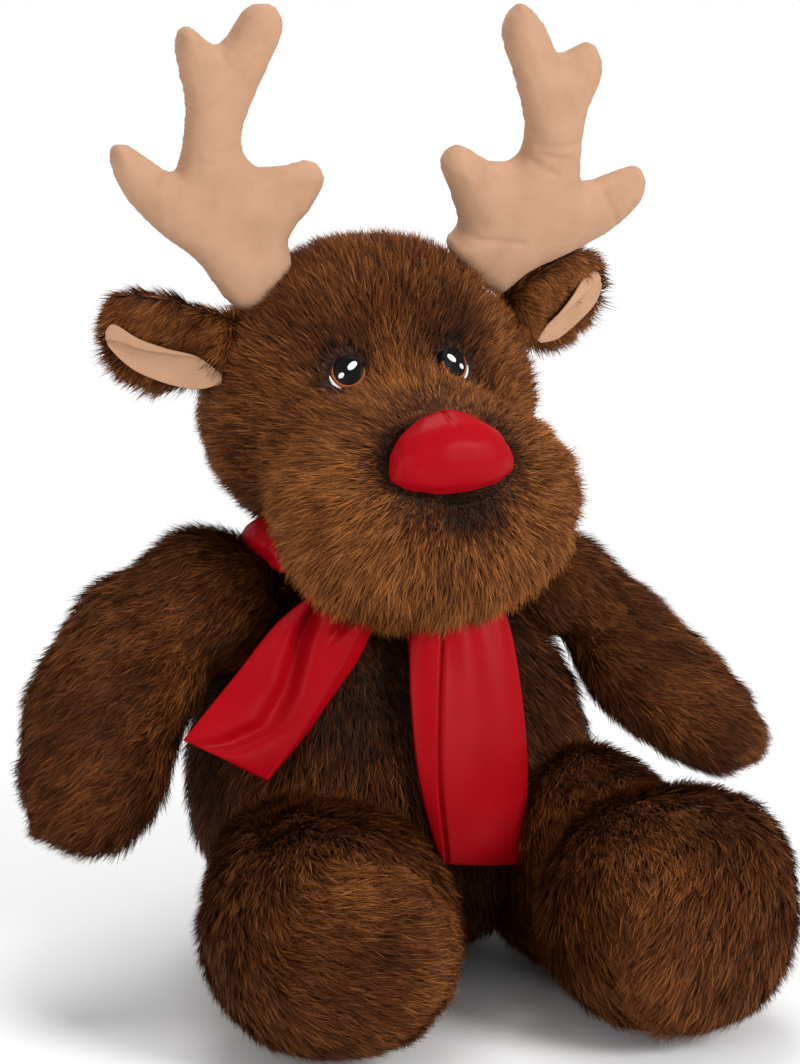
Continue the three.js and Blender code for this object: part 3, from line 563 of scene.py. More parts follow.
def fur_tree():
    """The whole tree: a blade on every root, turned, sized, toned, made real and finished."""
    tree = bpy.data.node_groups.new("pile", "GeometryNodeTree")
    for name, kind in PILE_INPUTS.items():
        tree.interface.new_socket(name, in_out="INPUT", socket_type=kind)
    tree.interface.new_socket("Pile", in_out="OUTPUT", socket_type="NodeSocketGeometry")
    given = node(tree, "NodeGroupInput")
    length = number(tree, "MULTIPLY", value(tree, "FLOAT", "pile"), chance(tree, given, BLADE_LENGTHS, 5))
    wide = number(tree, "MULTIPLY", given.outputs["Blade width"], chance(tree, given, BLADE_WIDTHS, 7))
    size = node(tree, "ShaderNodeCombineXYZ", X=length, Y=wide, Z=length)
    strands = node(tree, "GeometryNodeInstanceOnPoints", Points=roots_in(tree, given),
                   Instance=blade_in(tree), Rotation=turn_in(tree, given), Scale=size.outputs[0])
    toned = stored(tree, "FLOAT", "INSTANCE", "shade", strands.outputs[0], shade_in(tree, given))
    real = node(tree, "GeometryNodeRealizeInstances", Geometry=toned)
    mapped = mapped_in(tree, real.outputs[0])
    dressed = node(tree, "GeometryNodeSetMaterial", Geometry=mapped, Material=given.outputs["Finish"])
    node(tree, "NodeGroupOutput", Pile=dressed.outputs[0])
    return tree


pile = fur_tree()
print("the pile's tree has", len(pile.nodes), "nodes")

# %% [markdown]
# The tree's inputs are set by their sockets' identifiers, and a density gives about so many
# strands for the area. The result is a plain mesh of its own, without the helper values.

# %% Growing a pile on a skin
BLADE_WIDTH = 0.46 * MM
LEAN = 1.05
CLUMP_SIZE = 11 * MM
CLUMP_PULL = 1.2
TUFT_SIZE = 3.2 * MM
LEAST_COVER = 0.05
HELPER_VALUES = ("along", "across", "shade", "out", "flow", "pile", "tone", "cover")


def brush(skin, flow, length, tone, cover=1.0):
    """Writes a skin's brushing on its points."""
    mesh = skin.data
    attribute = mesh.attributes.new("flow", "FLOAT_VECTOR", "POINT")
    attribute.data.foreach_set("vector", np.asarray(flow, np.float32).ravel())
    for name, values in (("pile", length), ("tone", tone), ("cover", cover)):
        attribute = mesh.attributes.new(name, "FLOAT", "POINT")
        spread = np.broadcast_to(values, len(mesh.vertices))
        attribute.data.foreach_set("value", spread.astype(np.float32))


def density_for(mesh, strands):
    """Strands for each square metre that is covered, and the mesh's whole area."""
    shape = bmesh.new()
    shape.from_mesh(mesh)
    area = sum(face.calc_area() for face in shape.faces)
    shape.free()
    cover = np.zeros(len(mesh.vertices), np.float32)
    mesh.attributes["cover"].data.foreach_get("value", cover)
    return strands / (area * max(float(cover.mean()), LEAST_COVER)), area


def grow(name, skin, strands, seed, body):
    """Grows about so many strands on a brushed skin, as a plain mesh that rides on its body."""
    density, area = density_for(skin.data, strands)
    thing = in_scene(name, skin.data.copy())
    modifier = thing.modifiers.new("pile", "NODES")
    modifier.node_group = pile
    settings = {
        "Density": density,
        "Blade width": BLADE_WIDTH,
        "Lean": LEAN,
        "Clump size": CLUMP_SIZE,
        "Clump pull": CLUMP_PULL,
        "Tuft size": TUFT_SIZE,
        "Seed": seed,
        "Finish": fur,
    }
    for item in pile.interface.items_tree:
        if item.name in settings:
            modifier[item.identifier] = settings[item.name]
    applied(thing)
    attributes = thing.data.attributes
    for key in HELPER_VALUES:
        if key in attributes:
            attributes.remove(attributes[key])
    thing.data.shade_smooth()
    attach(thing, body)
    print(f"{name}: {len(thing.data.polygons)} faces on {area * 10000:.0f} cm2")


# %% [markdown]
# ## The torso
#
# The torso is a pear of fur fabric, weighted with pellets in the seat. Its pile is brushed
# down. Under the scarf and the chin it is pressed short and painted darker as shade, and near
# the floor, where the toy sits on it, it is pressed flat. Its tone is set lower than the
# limbs' as painted shade under the head. The skin swells a little at the shoulders, where the
# stuffing of the arms pushes from beside.

# %% The torso
TORSO_NODES = ["torso_front_panel", "torso_back_panel", "torso_stuffing", "seat_pellet_bag"]
# Set low: the fur's tone with painted shade from the head over it.
TORSO_TONE_AND_SHADE = 0.32
TORSO_DEPTH = 1 * MM
TORSO_STRANDS = 42000
TORSO_LAYERS = 2
TORSO_MOVES = [((-62, -42, 178), 60, (-5, -18, 18)), ((70, -30, 195), 38, (0, -6, 4))]
TORSO_PATCH = 30 * MM
PATCH_TONE = 0.22
CHEST_TOP = np.array([0, -45, 175]) * MM
CHEST_REACH = (35 * MM, 75 * MM)
PRESSED_SHORTER = 0.45
# Painted shade under the chin and the scarf.
PAINTED_CHIN_SHADE = 0.12
SEAT_PRESSED = (2 * MM, 22 * MM)
SEAT_LENGTH = 0.1


def above_floor(points, length):
    """Strands near the floor are pressed short."""
    share = smoothly(points[:, 2], *SEAT_PRESSED)
    return length * (SEAT_LENGTH + (1 - SEAT_LENGTH) * share)


torso = skin_over("torso_skin", TORSO_NODES, SKIN_GRAIN, SKIN_ROUNDS)
shaped(torso, TORSO_MOVES)
points, normals = inset(torso, TORSO_DEPTH)
pressed = near(points, CHEST_TOP, *CHEST_REACH)
length = above_floor(points, PILE_LENGTH) * (1 - PRESSED_SHORTER * pressed)
# Painted shade: the low torso tone, and the darkening under the chin and scarf.
tone = TORSO_TONE_AND_SHADE + PATCH_TONE * mottled(points, TORSO_PATCH, 1) - PAINTED_CHIN_SHADE * pressed
brush(torso, tangent(np.broadcast_to(-Z, points.shape), normals), length, tone)
for layer in range(TORSO_LAYERS):
    grow(f"torso_fur_{layer + 1}", torso, TORSO_STRANDS, 1 + layer, "torso")
dress(torso, "torso", TORSO_NODES, backing)

# %% [markdown]
# ## The head
#
# The muzzle is sewn on the face, so one skin goes over both, and the crease between them is
# closed. The pile is brushed away from the nose on all sides: up over the forehead, out over
# the cheeks and down under the chin, and then down the back of the head. It is trimmed round
# the nose and the eyes and hangs long as a fringe under the chin. It is lightest on the
# muzzle, and painted darker as shade over the eyes, round the nose and in the crease under
# the nose, where the mouth is.

# %% Places on the face
NOSE = np.array([0, -73, 281]) * MM
MOUTH = np.array([8, -84, 257]) * MM
EYE_SPREAD = 29 * MM
EYE_DEPTH = 2.7 * MM
EYE_HEIGHT = 312.5 * MM
EYES = {side: np.array([sign * EYE_SPREAD, -EYE_DEPTH, EYE_HEIGHT]) for side, sign in SIDES.items()}
NOSE_TRIM = (30 * MM, 50 * MM)
# Painted shade round the nose.
NOSE_SHADE_REACH = (33 * MM, 42 * MM)
# Painted shade in the crease under the nose, at the mouth.
MOUTH_SHADE_REACH = (8 * MM, 20 * MM)
EYE_TRIM = (-2.5 * MM, 11 * MM, 19 * MM)
# Painted shade over the eyes.
SHADE_OVER_EYES = (14 * MM, 8 * MM, 30 * MM)
CHEEKS = (-16 * MM, 6 * MM, 22 * MM)
MUZZLE_SKIN = (-40 * MM, 10 * MM)
MUZZLE_TONE = (-20 * MM, 20 * MM)
HEAD_BACK = (30 * MM, 90 * MM)
CHIN = (-30 * MM, 20 * MM)
UNDERSIDE = (0.1, 0.7)


def by_eyes(points, rise, inner, outer):
    """1 at a height over or under each eye, and 0 beyond the outer distance from there."""
    return sum(near(points, place + Z * rise, inner, outer) for place in EYES.values())


print("the eyes are", EYE_SPREAD * 2 / MM, "mm apart")

# %% The head
HEAD_NODES = ["face_panel", "head_back_panel", "head_stuffing", "muzzle_cover", "muzzle_stuffing"]
HEAD_TONE = 0.5
HEAD_STRANDS = 50000
HEAD_LAYERS = 3
HEAD_PATCH = 26 * MM
HEAD_CLOSING = 20 * MM
SKULL_DEPTH = 4.5 * MM
MUZZLE_DEPTH = 7 * MM
HEAD_MOVES = [((87, -5, 280), 45, (6, -2, 0)), ((-84, -5, 272), 45, (-3, -2, 0))]
FRINGE = 0.45
TRIMMED_AT_NOSE = 0.75
TRIMMED_AT_EYES = 0.85
TRIMMED_ON_CHEEKS = 0.8
BARE_AT_EYES = 0.85


def head_tone(points):
    """Light on the muzzle, with painted shade over the eyes, round the nose and in the crease under it, at the
    mouth.
    """
    tone = HEAD_TONE + 0.14 * (1 - smoothly(points[:, 1], *MUZZLE_TONE))
    # Painted shade over the eyes, round the nose and at the mouth.
    tone = tone + 0.2 * mottled(points, HEAD_PATCH, 2) - 0.3 * by_eyes(points, *SHADE_OVER_EYES)
    return tone - 0.4 * near(points, MOUTH, *MOUTH_SHADE_REACH) - 0.17 * near(points, NOSE, *NOSE_SHADE_REACH)


head = skin_over("head_skin", HEAD_NODES, SKIN_GRAIN, SKIN_ROUNDS, HEAD_CLOSING)
shaped(head, HEAD_MOVES)
muzzle_share = 1 - smoothly(points_of(head.data)[:, 1], *MUZZLE_SKIN)
points, normals = inset(head, SKULL_DEPTH + (MUZZLE_DEPTH - SKULL_DEPTH) * muzzle_share)
outward = points - NOSE
behind = smoothly(points[:, 1], *HEAD_BACK)[:, None]
way = outward / np.linalg.norm(outward, axis=1, keepdims=True) * (1 - behind) - Z * behind
fringe = smoothly(-normals[:, 2], *UNDERSIDE) * (1 - smoothly(points[:, 1], *CHIN))
eyes = by_eyes(points, *EYE_TRIM)
clipped = np.maximum(eyes, TRIMMED_ON_CHEEKS * by_eyes(points, *CHEEKS))
length = PILE_LENGTH * (1 - TRIMMED_AT_NOSE * near(points, NOSE, *NOSE_TRIM))
length = length * (1 - TRIMMED_AT_EYES * clipped) * (1 + FRINGE * fringe)
flow = tangent(way - Z * fringe[:, None], normals)
brush(head, flow, length, head_tone(points), 1 - BARE_AT_EYES * eyes)
for layer in range(HEAD_LAYERS):
    grow(f"head_fur_{layer + 1}", head, HEAD_STRANDS, 21 + layer, "head")
dress(head, "head", HEAD_NODES, backing)

# %% [markdown]
# ## The arms and legs
#
# Each limb is a stuffed tube with a round paw. The pile runs from the shoulder to the paw. On
# the legs it runs down and forward, and each sole is cut from its own piece of fabric, brushed
# sideways. The skin stays fuller at the shoulder and the thigh, where the limb is sewn on.

# %% The arms
LIMB_TONE = 0.42
LIMB_PATCH = 28 * MM
ARM_STRANDS = 56000
ARM_DEPTHS = {"right": 3 * MM, "left": 5 * MM}
ARM_MOVES = {
    "right": [((-146, -40, 95), 70, (-4, 0, -4)), ((-110, -30, 90), 60, (4, 0, -3))],
    "left": [((125, 20, 195), 55, (3, 0, 6)), ((170, 0, 110), 50, (3, 0, -3))],
}
SHOULDER_RISE = 22 * MM
SHOULDER_REACH = (12 * MM, 55 * MM)
SHOULDER_FULLER = 10 * MM

for side in SIDES:
    body = side + "_arm"
    arm = skin_over(body + "_skin", bodies[body], SKIN_GRAIN, SKIN_ROUNDS)
    shaped(arm, ARM_MOVES[side])
    shoulder = near(points_of(arm.data), pivots[body] + Z * SHOULDER_RISE, *SHOULDER_REACH)
    points, normals = inset(arm, ARM_DEPTHS[side] - SHOULDER_FULLER * shoulder)
    reach = np.broadcast_to(points.mean(0) - pivots[body], points.shape)
    tone = LIMB_TONE + PATCH_TONE * mottled(points, LIMB_PATCH, 3)
    brush(arm, tangent(reach, normals), PILE_LENGTH, tone)
    grow(body + "_fur", arm, ARM_STRANDS, 31, body)
    dress(arm, body, bodies[body], backing)

# %% The legs
LEG_TONE = 0.46
LEG_DEPTH = 2 * MM
LEG_STRANDS = 44000
LEG_LAYERS = 2
LEG_MOVES = {
    "right": [((-100, -150, 108), 60, (0, 0, 4))],
    "left": [((126, -165, 112), 60, (5, 0, 6))],
}
LEG_WAY = np.array([0, -0.8, -0.45])
SOLE_WAYS = {"right": np.array([0.9, -0.1, -0.1]), "left": np.array([-0.5, -0.1, -0.7])}
SOLE_FACING = (0.45, 0.85)
THIGH = (-130 * MM, -90 * MM)
THIGH_FULLER = 4 * MM

for side in SIDES:
    body = side + "_leg"
    leg = skin_over(body + "_skin", bodies[body], SKIN_GRAIN, SKIN_ROUNDS)
    shaped(leg, LEG_MOVES[side])
    thigh = smoothly(points_of(leg.data)[:, 1], *THIGH)
    points, normals = inset(leg, LEG_DEPTH - THIGH_FULLER * thigh)
    sole = smoothly(-normals[:, 1], *SOLE_FACING)[:, None]
    way = SOLE_WAYS[side] * sole + LEG_WAY * (1 - sole)
    tone = LEG_TONE + PATCH_TONE * mottled(points, LIMB_PATCH, 4)
    brush(leg, tangent(way, normals), above_floor(points, PILE_LENGTH), tone)
    for layer in range(LEG_LAYERS):
        grow(f"{body}_fur_{layer + 1}", leg, LEG_STRANDS, 41 + layer, body)
    dress(leg, body, bodies[body], backing)

# %% [markdown]
# The neck hides under the scarf, with a short pile that closes the gap when the head nods.
# The tail is a small tuft, brushed back and down. Both are made like the limbs, on a finer
# grid, because they are small.

# %% The neck and tail
SMALL_BODIES = {
    "neck": {"grain": 3 * MM, "depth": 1 * MM, "strands": 6000, "length": 0.35, "way": -Z},
    "tail": {"grain": 2.5 * MM, "depth": 4 * MM, "strands": 8000, "length": 0.9, "way": Y * 0.7 - Z * 0.3},
}

for body, plan in SMALL_BODIES.items():
    skin = skin_over(body + "_skin", bodies[body], plan["grain"], SKIN_ROUNDS)
    points, normals = inset(skin, plan["depth"])
    way = np.broadcast_to(plan["way"], points.shape)
    brush(skin, tangent(way, normals), PILE_LENGTH * plan["length"], LIMB_TONE)
    grow(body + "_fur", skin, plan["strands"], 51, body)
    dress(skin, body, bodies[body], backing)

# %% [markdown]
# ## Suede, satin and thread
#
# The antlers and the ear linings are micro-suede: a matt, fine nap with a soft bloom at
# grazing angles and faint darker patches. The nose and the scarf are satin, smoother and
# with a soft gloss, and the mouth is dark thread. All three are one kind of tree with
# other numbers. The bumps are small, because a nap or a weave is far finer than a stitch.

# %% Suede, satin and thread
NAP_HEIGHT = 0.2 * MM


def cloth_finish(name, colours, patch, grain, bump, **even):
    """A cloth whose colour drifts in soft patches, with a fine grain in its bump."""
    material, tree, shader = finish_named(name, **even)
    place = node(tree, "ShaderNodeTexCoord").outputs["Object"]
    patches = node(tree, "ShaderNodeTexNoise", Scale=1 / patch, Detail=4.0, Roughness=0.65, Vector=place)
    tree.links.new(ramp(tree, patches.outputs["Fac"], colours), shader.inputs["Base Color"])
    fine = node(tree, "ShaderNodeTexNoise", Scale=1 / grain, Detail=2.0, Vector=place)
    raised = node(tree, "ShaderNodeBump", Strength=bump, Distance=NAP_HEIGHT, Height=fine.outputs["Fac"])
    tree.links.new(raised.outputs[0], shader.inputs["Normal"])
    return material


suede = cloth_finish(
    "suede",
    [(0.3, (0.39, 0.22, 0.132)), (0.5, (0.435, 0.25, 0.152)), (0.75, (0.47, 0.274, 0.17))],
    patch=20 * MM, grain=0.5 * MM, bump=0.3,
    roughness=0.9, specular_ior_level=0.15, sheen_weight=0.06, sheen_roughness=0.4,
)
satin = cloth_finish(
    "satin",
    [(0.3, (0.285, 0.0011, 0.0045)), (0.7, (0.33, 0.0018, 0.0063))],
    patch=22 * MM, grain=0.35 * MM, bump=0.1,
    roughness=0.4, specular_ior_level=0.06,
)
thread = cloth_finish(
    "thread",
    [(0.3, (0.006, 0.003, 0.002)), (0.7, (0.014, 0.007, 0.004))],
    patch=1 * MM, grain=0.3 * MM, bump=0.5,
    roughness=0.8, specular_ior_level=0.03,
)
print("finishes:", suede.name, satin.name, thread.name)

# %% [markdown]
# ## The antlers
#
# Each antler is two flat panels sewn edge to edge and stuffed. The frame's solids could be
# smoothed like the limbs, but their seam would be lost. So the outline is a closed curve
# through a few points, in mm from the antler's foot, in its own plane. Both panels are one
# even net of triangles inside that curve, and they swell with the distance from the seam, as
# a cushion does. The creases of the bent cloth are short valleys in the front panel.


# %% A net inside an outline
CURVE_STEPS = 20
ROW_STEP = 0.87
EDGE_CLEARANCE = 0.6


def between(a, b, c, d, share):
    """A place between b and c on a smooth curve that comes from a and goes on to d."""
    square = (2 * a - 5 * b + 4 * c - d) * share**2
    cube = (3 * b - a - 3 * c + d) * share**3
    return 0.5 * (2 * b + (c - a) * share + square + cube)


def closed_curve(places, spacing):
    """A smooth closed curve through some places, in even steps."""
    shares = np.linspace(0, 1, CURVE_STEPS, endpoint=False)[:, None]
    count = len(places)
    fine = [between(*(places[(i + k) % count] for k in (-1, 0, 1, 2)), shares) for i in range(count)]
    fine = np.vstack(fine + [fine[0][:1]])
    walked = np.concatenate([[0], np.cumsum(np.linalg.norm(np.diff(fine, axis=0), axis=1))])
    steps = np.linspace(0, walked[-1], int(walked[-1] / spacing), endpoint=False)
    return np.stack([np.interp(steps, walked, fine[:, k]) for k in (0, 1)], axis=1)


def to_line(places, first, last):
    """The distance of some places from a straight line between two others."""
    way = last - first
    share = np.clip((places - first) @ way / (way @ way), 0, 1)
    return np.linalg.norm(places - first - np.outer(share, way), axis=1)


def inside(places, edge):
    """Whether each place is inside a closed edge: a line from it crosses the edge oddly often."""
    after = np.roll(edge, -1, axis=0)
    across, up = places[:, :1], places[:, 1:]
    crossing = (edge[:, 1] > up) != (after[:, 1] > up)
    with np.errstate(divide="ignore", invalid="ignore"):
        slope = (up - edge[:, 1]) / (after[:, 1] - edge[:, 1])
        crossed_at = edge[:, 0] + slope * (after[:, 0] - edge[:, 0])
    return (crossing & (across < crossed_at)).sum(1) % 2 == 1


def net_inside(outline, spacing):
    """An even net of triangles inside an outline, and its points' distances from the edge."""
    edge = closed_curve(outline, spacing)
    low, high = edge.min(0), edge.max(0)
    columns = np.arange(low[0], high[0], spacing)
    rows = np.arange(low[1], high[1], spacing * ROW_STEP)
    grid = np.array([(x + (i % 2) * spacing / 2, y) for i, y in enumerate(rows) for x in columns])
    gaps = np.linalg.norm(grid[:, None] - edge[None], axis=2).min(1)
    places = np.vstack([edge, grid[inside(grid, edge) & (gaps > spacing * EDGE_CLEARANCE)]])
    count = len(edge)
    seam = [(i, (i + 1) % count) for i in range(count)]
    made = geometry.delaunay_2d_cdt([tuple(p) for p in places], seam, [], 1, 1e-9)
    places = np.array([tuple(p) for p in made[0]])
    from_edge = np.linalg.norm(places[:, None] - edge[None], axis=2).min(1)
    return places, from_edge, made[2]


# %% The antlers' outlines and creases
ANTLER_OUTLINES = {
    "right": [
        (-15, -5), (-32, 17), (-54, 35), (-71, 54), (-79, 74), (-71, 81), (-48, 66), (-42, 72), (-40, 98),
        (-46, 129), (-39, 139), (-23, 129), (-8, 147), (6, 147), (10, 134), (-2, 106), (-10, 82), (-3, 67),
        (11, 65), (28, 67), (35, 58), (28, 43), (17, 28), (18, 10), (1, -9),
    ],
    "left": [
        (-20, 19), (-15, 31), (-22, 49), (-29, 67), (-19, 76), (0, 66), (13, 67), (15, 84), (6, 110),
        (-5, 138), (4, 153), (17, 143), (29, 125), (46, 130), (53, 115), (48, 92), (49, 60), (56, 51),
        (83, 58), (87, 43), (73, 25), (50, 12), (28, 2), (12, -10), (-8, 2),
    ],
}
ANTLER_CREASES = {
    "right": [
        ((-48, 66), (-56, 60)), ((-56, 60), (-61, 46)), ((-30, 76), (-10, 76)),
        ((-35, 70), (-12, 71)), ((-25, 128), (-22, 121)),
    ],
    "left": [
        ((61, 49), (71, 28)), ((17, 78), (44, 78)), ((20, 74), (37, 70)), ((17, 69), (31, 62)),
        ((-14, 28), (17, 24)), ((28, 125), (31, 120)),
    ],
}
print("outlines have", [len(outline) for outline in ANTLER_OUTLINES.values()], "points")

# %% The antlers
ANTLER_GRAIN = 1.6 * MM
ANTLER_FORWARD = {"right": 6, "left": 18}
ANTLER_THICKNESS = 12.5 * MM
ANTLER_SWELL = 19 * MM
ANTLER_ROUNDS = 3
PUCKER_DEPTH = 0.7 * MM
PUCKER_SIZE = 5 * MM
PUCKER_REACH = 7 * MM
PUCKER_START = 3 * MM
SAG_DEPTH = 1.2 * MM
SAG_SIZE = 30 * MM
SAG_START = (2 * MM, 10 * MM)
CREASE_DEPTH = 1.3 * MM
CREASE_HALF_WIDTH = 1.5 * MM
CREASE_START = (0.5 * MM, 4 * MM)
SEAM_TOLERANCE = 0.01 * MM


def swelling(places, from_edge):
    """How far a panel stands out: a cushion's swell, with puckers at the seam and soft sags."""
    near_seam = 1 - np.clip(from_edge / ANTLER_SWELL, 0, 1)
    flat = np.stack([places[:, 0], places[:, 1], np.zeros(len(places))], axis=1)
    fading = np.exp(-((from_edge / PUCKER_REACH) ** 2)) * smoothly(from_edge, 0, PUCKER_START)
    puckers = mottled(flat, PUCKER_SIZE, 5) * fading
    sags = mottled(flat, SAG_SIZE, 6) * smoothly(from_edge, *SAG_START)
    swell = ANTLER_THICKNESS * np.sqrt(1 - near_seam**2.4)
    return swell + PUCKER_DEPTH * puckers + SAG_DEPTH * sags


def creased(places, from_edge, lines):
    """How deep the creases of the bent cloth are."""
    share = np.zeros(len(places))
    for first, last in lines:
        gap = to_line(places, np.array(first) * MM, np.array(last) * MM)
        share = np.maximum(share, valley(gap, 0, CREASE_HALF_WIDTH))
    return CREASE_DEPTH * share * smoothly(from_edge, *CREASE_START)


def antler_mesh(name, side):
    """Two panels over one net, joined along the seam."""
    places, from_edge, faces = net_inside(np.array(ANTLER_OUTLINES[side]) * MM, ANTLER_GRAIN)
    back = swelling(places, from_edge)
    front = back - creased(places, from_edge, ANTLER_CREASES[side])
    lean = math.radians(ANTLER_FORWARD[side])
    facing = np.array([0, -math.cos(lean), -math.sin(lean)])
    tall = np.array([0, -math.sin(lean), math.cos(lean)])
    flat = pivots[side + "_antler"] + np.outer(places[:, 0], X) + np.outer(places[:, 1], tall)
    on_seam = from_edge < SEAM_TOLERANCE
    shape = bmesh.new()
    layers = []
    for way, out in ((1, front), (-1, back)):
        panel = flat + np.outer(way * np.where(on_seam, 0, out), facing)
        layers.append([shape.verts.new(p) for p in panel])
    for i in np.flatnonzero(on_seam):
        shape.verts.remove(layers[1][i])
        layers[1][i] = layers[0][i]
    for face in faces:
        shape.faces.new([layers[0][i] for i in face])
        shape.faces.new([layers[1][i] for i in reversed(face)])
    bmesh.ops.recalc_face_normals(shape, faces=shape.faces)
    return mesh_of(name, shape)


for side in SIDES:
    name = side + "_antler_skin"
    antler = in_scene(name, antler_mesh(name, side))
    soften(antler, ANTLER_ROUNDS)
    antler.data.shade_smooth()
    dress(antler, side + "_antler", bodies[side + "_antler"], suede)
    print(antler.name, len(antler.data.polygons), "faces")

# %% [markdown]
# ## Strips of cloth
#
# The ear linings and the scarf's ends are strips of doubled cloth. A cloth simulation could
# drape them, but the photograph already shows how each one lies. So a few rows, in mm, give
# a strip's two edges. Smooth curves go through them, a grid is stretched between the curves,
# and a function of the place across and down the strip says how far each fold stands out.


# %% A strip between two edges
STRIP_STEPS = 90
STRIP_COLUMNS = 100
SIDE_ROUNDING = 8
END_ROUNDING = 16
WELD = 0.02 * MM


def curve_through(rows, count):
    """Points along a smooth curve through a few given ones."""
    ends = np.vstack([2 * rows[0] - rows[1], rows, 2 * rows[-1] - rows[-2]])
    made = []
    for share in np.linspace(0, len(rows) - 1, count):
        i = min(int(share), len(rows) - 2)
        made.append(between(*ends[i:i + 4], share - i))
    return np.array(made)


def rim_of(rows, columns):
    """The places in a grid that lie on its rim, in order round it."""
    last_row, last_column = rows - 1, columns - 1
    rim = [(0, j) for j in range(columns)]
    rim += [(i, last_column) for i in range(1, rows)]
    rim += [(last_row, j) for j in range(last_column - 1, -1, -1)]
    return rim + [(i, 0) for i in range(last_row - 1, 0, -1)]


def strip(name, rows, thickness, fold, finish, columns=STRIP_COLUMNS):
    """A closed strip of doubled cloth between two edges, facing the front."""
    rows = np.array(rows, float) * MM
    edges = [curve_through(rows[:, edge], STRIP_STEPS) for edge in (0, 1)]
    across, down = np.meshgrid(np.linspace(0, 1, columns), np.linspace(0, 1, STRIP_STEPS))
    share = across[..., None]
    middle = edges[0][:, None] * (1 - share) + edges[1][:, None] * share
    out = np.cross(np.gradient(middle, axis=1), np.gradient(middle, axis=0))
    out /= np.maximum(np.linalg.norm(out, axis=2, keepdims=True), 1e-9)
    out *= -np.sign(out[..., 1].mean())
    middle = middle + out * fold(across, down)[..., None]
    thin_sides = np.sqrt(np.clip(1 - (2 * across - 1) ** SIDE_ROUNDING, 0, 1))
    thin_ends = np.sqrt(np.clip(1 - (2 * down - 1) ** END_ROUNDING, 0, 1))
    half = thickness / 2 * (thin_sides * thin_ends)
    shape = bmesh.new()
    layers = []
    for way in (1, -1):
        grid = middle + out * (way * half)[..., None]
        layers.append([[shape.verts.new(p) for p in row] for row in grid])
    front, back = layers
    for layer in layers:
        for upper, lower in zip(layer, layer[1:]):
            for j in range(columns - 1):
                shape.faces.new((upper[j], lower[j], lower[j + 1], upper[j + 1]))
    rim = rim_of(STRIP_STEPS, columns)
    for (i, j), (k, m) in zip(rim, rim[1:] + rim[:1]):
        shape.faces.new((front[i][j], front[k][m], back[k][m], back[i][j]))
    bmesh.ops.remove_doubles(shape, verts=shape.verts, dist=WELD)
    bmesh.ops.recalc_face_normals(shape, faces=shape.faces)
    mesh = mesh_of(name, shape)
    mesh.materials.append(finish)
    mesh.shade_smooth()
    return in_scene(name, mesh)


# %% [markdown]
# ## The ears
#
# An ear is a leaf of fur fabric, folded forward along its upper edge, so that only the lower
# part of its suede lining shows. The lining is a thin strip with a rolled upper edge and a
# hollow below it. The fur grows on the back and over the fold. It is left bare only where
# the lining covers it, which a search for the nearest point of the lining finds.

# %% The ear linings
LINING_ROWS = {
    "right": [
        [(-137, 60, 329), (-137, 60, 327)],
        [(-133, 57, 333), (-135, 59, 320)],
        [(-122, 51, 326), (-124, 53, 309)],
        [(-109, 45, 321), (-108, 45, 302)],
        [(-95, 38, 317), (-95, 38, 300)],
        [(-84, 33, 308), (-84, 33, 303)],
    ],
    "left": [
        [(131, 57, 344), (135, 59, 342)],
        [(123, 52, 341), (138, 60, 334)],
        [(115, 48, 333), (133, 58, 325)],
        [(106, 43, 326), (120, 51, 317)],
        [(97, 39, 320), (106, 44, 311)],
        [(90, 35, 313), (93, 36, 311)],
    ],
}
LINING_COLUMNS = 40
LINING_THICKNESS = 1.8 * MM
LINING_ROLL = 1.2 * MM
LINING_HOLLOW = 2.5 * MM
ROLL_EDGE = 0.08
ROLL_DOWN = (0.1, 0.17, 0.33, 0.45, 0.6, 0.8)
ROLL_ACROSS = (0.9, 0.7, 0.34, 0.24, 0.12, 0.02)


def lining_fold(across, down):
    """A rolled upper edge, and a hollow below it."""
    line = np.interp(down, ROLL_DOWN, ROLL_ACROSS)
    below = np.clip((across - line) / (1 - line), 0, 1)
    ends = np.sin(math.pi * np.clip(down, 0, 1)) ** 0.5
    roll = LINING_ROLL * (1 - smoothly(across, line, line + ROLL_EDGE))
    return ends * (roll - LINING_HOLLOW * np.sin(math.pi * below) ** 0.7)


linings = {}
for side, rows in LINING_ROWS.items():
    body = side + "_ear"
    lining = strip(body + "_lining_suede", rows, LINING_THICKNESS, lining_fold, suede, LINING_COLUMNS)
    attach(lining, body)
    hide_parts(body + "_lining")
    linings[side] = lining
    print(lining.name, len(lining.data.polygons), "faces")

# %% The ears' fur
EAR_GRAIN = 2 * MM
EAR_ROUNDS = 8
EAR_DEPTH = 1.5 * MM
EAR_TONE = 0.54
EAR_PATCH = 20 * MM
EAR_STRANDS = 17000
EAR_DROPS = {"right": 1 * MM, "left": -6 * MM}
EAR_SHRINKS = {"right": 0.88, "left": 0.97}
EAR_MOVES = {
    "right": [((-80, 46, 322), 26, (3, 0, 11)), ((-130, 58, 340), 22, (0, 0, 5))],
    "left": [((82, 46, 332), 24, (-2, 0, 7))],
}
BARE_GAP = (4.5 * MM, 7 * MM)
BARE_FACING = (-0.1, 0.3)
EAR_FRONT = (0.2, 0.7)


def gaps_to(points, thing):
    """The distance of each point from the nearest point of a thing."""
    places = points_of(thing.data)
    tree = kdtree.KDTree(len(places))
    for index, place in enumerate(places):
        tree.insert(place, index)
    tree.balance()
    return np.array([tree.find(p)[2] for p in points])


def ear_skin(side, root):
    """An ear's skin, drawn in towards its root, and the way from the root to its middle."""
    ear = skin_over(side + "_ear_skin", [side + "_ear_fur"], EAR_GRAIN, EAR_ROUNDS)
    points, normals = inset(ear, EAR_DEPTH)
    reach = points.mean(0) - root
    reach /= np.linalg.norm(reach)
    outward = np.clip((points - root) @ reach, 0, None)
    drawn_in = np.outer(outward * (1 - EAR_SHRINKS[side]), reach)
    move_points(ear.data, points - drawn_in - Z * EAR_DROPS[side])
    shaped(ear, EAR_MOVES[side])
    return ear, reach


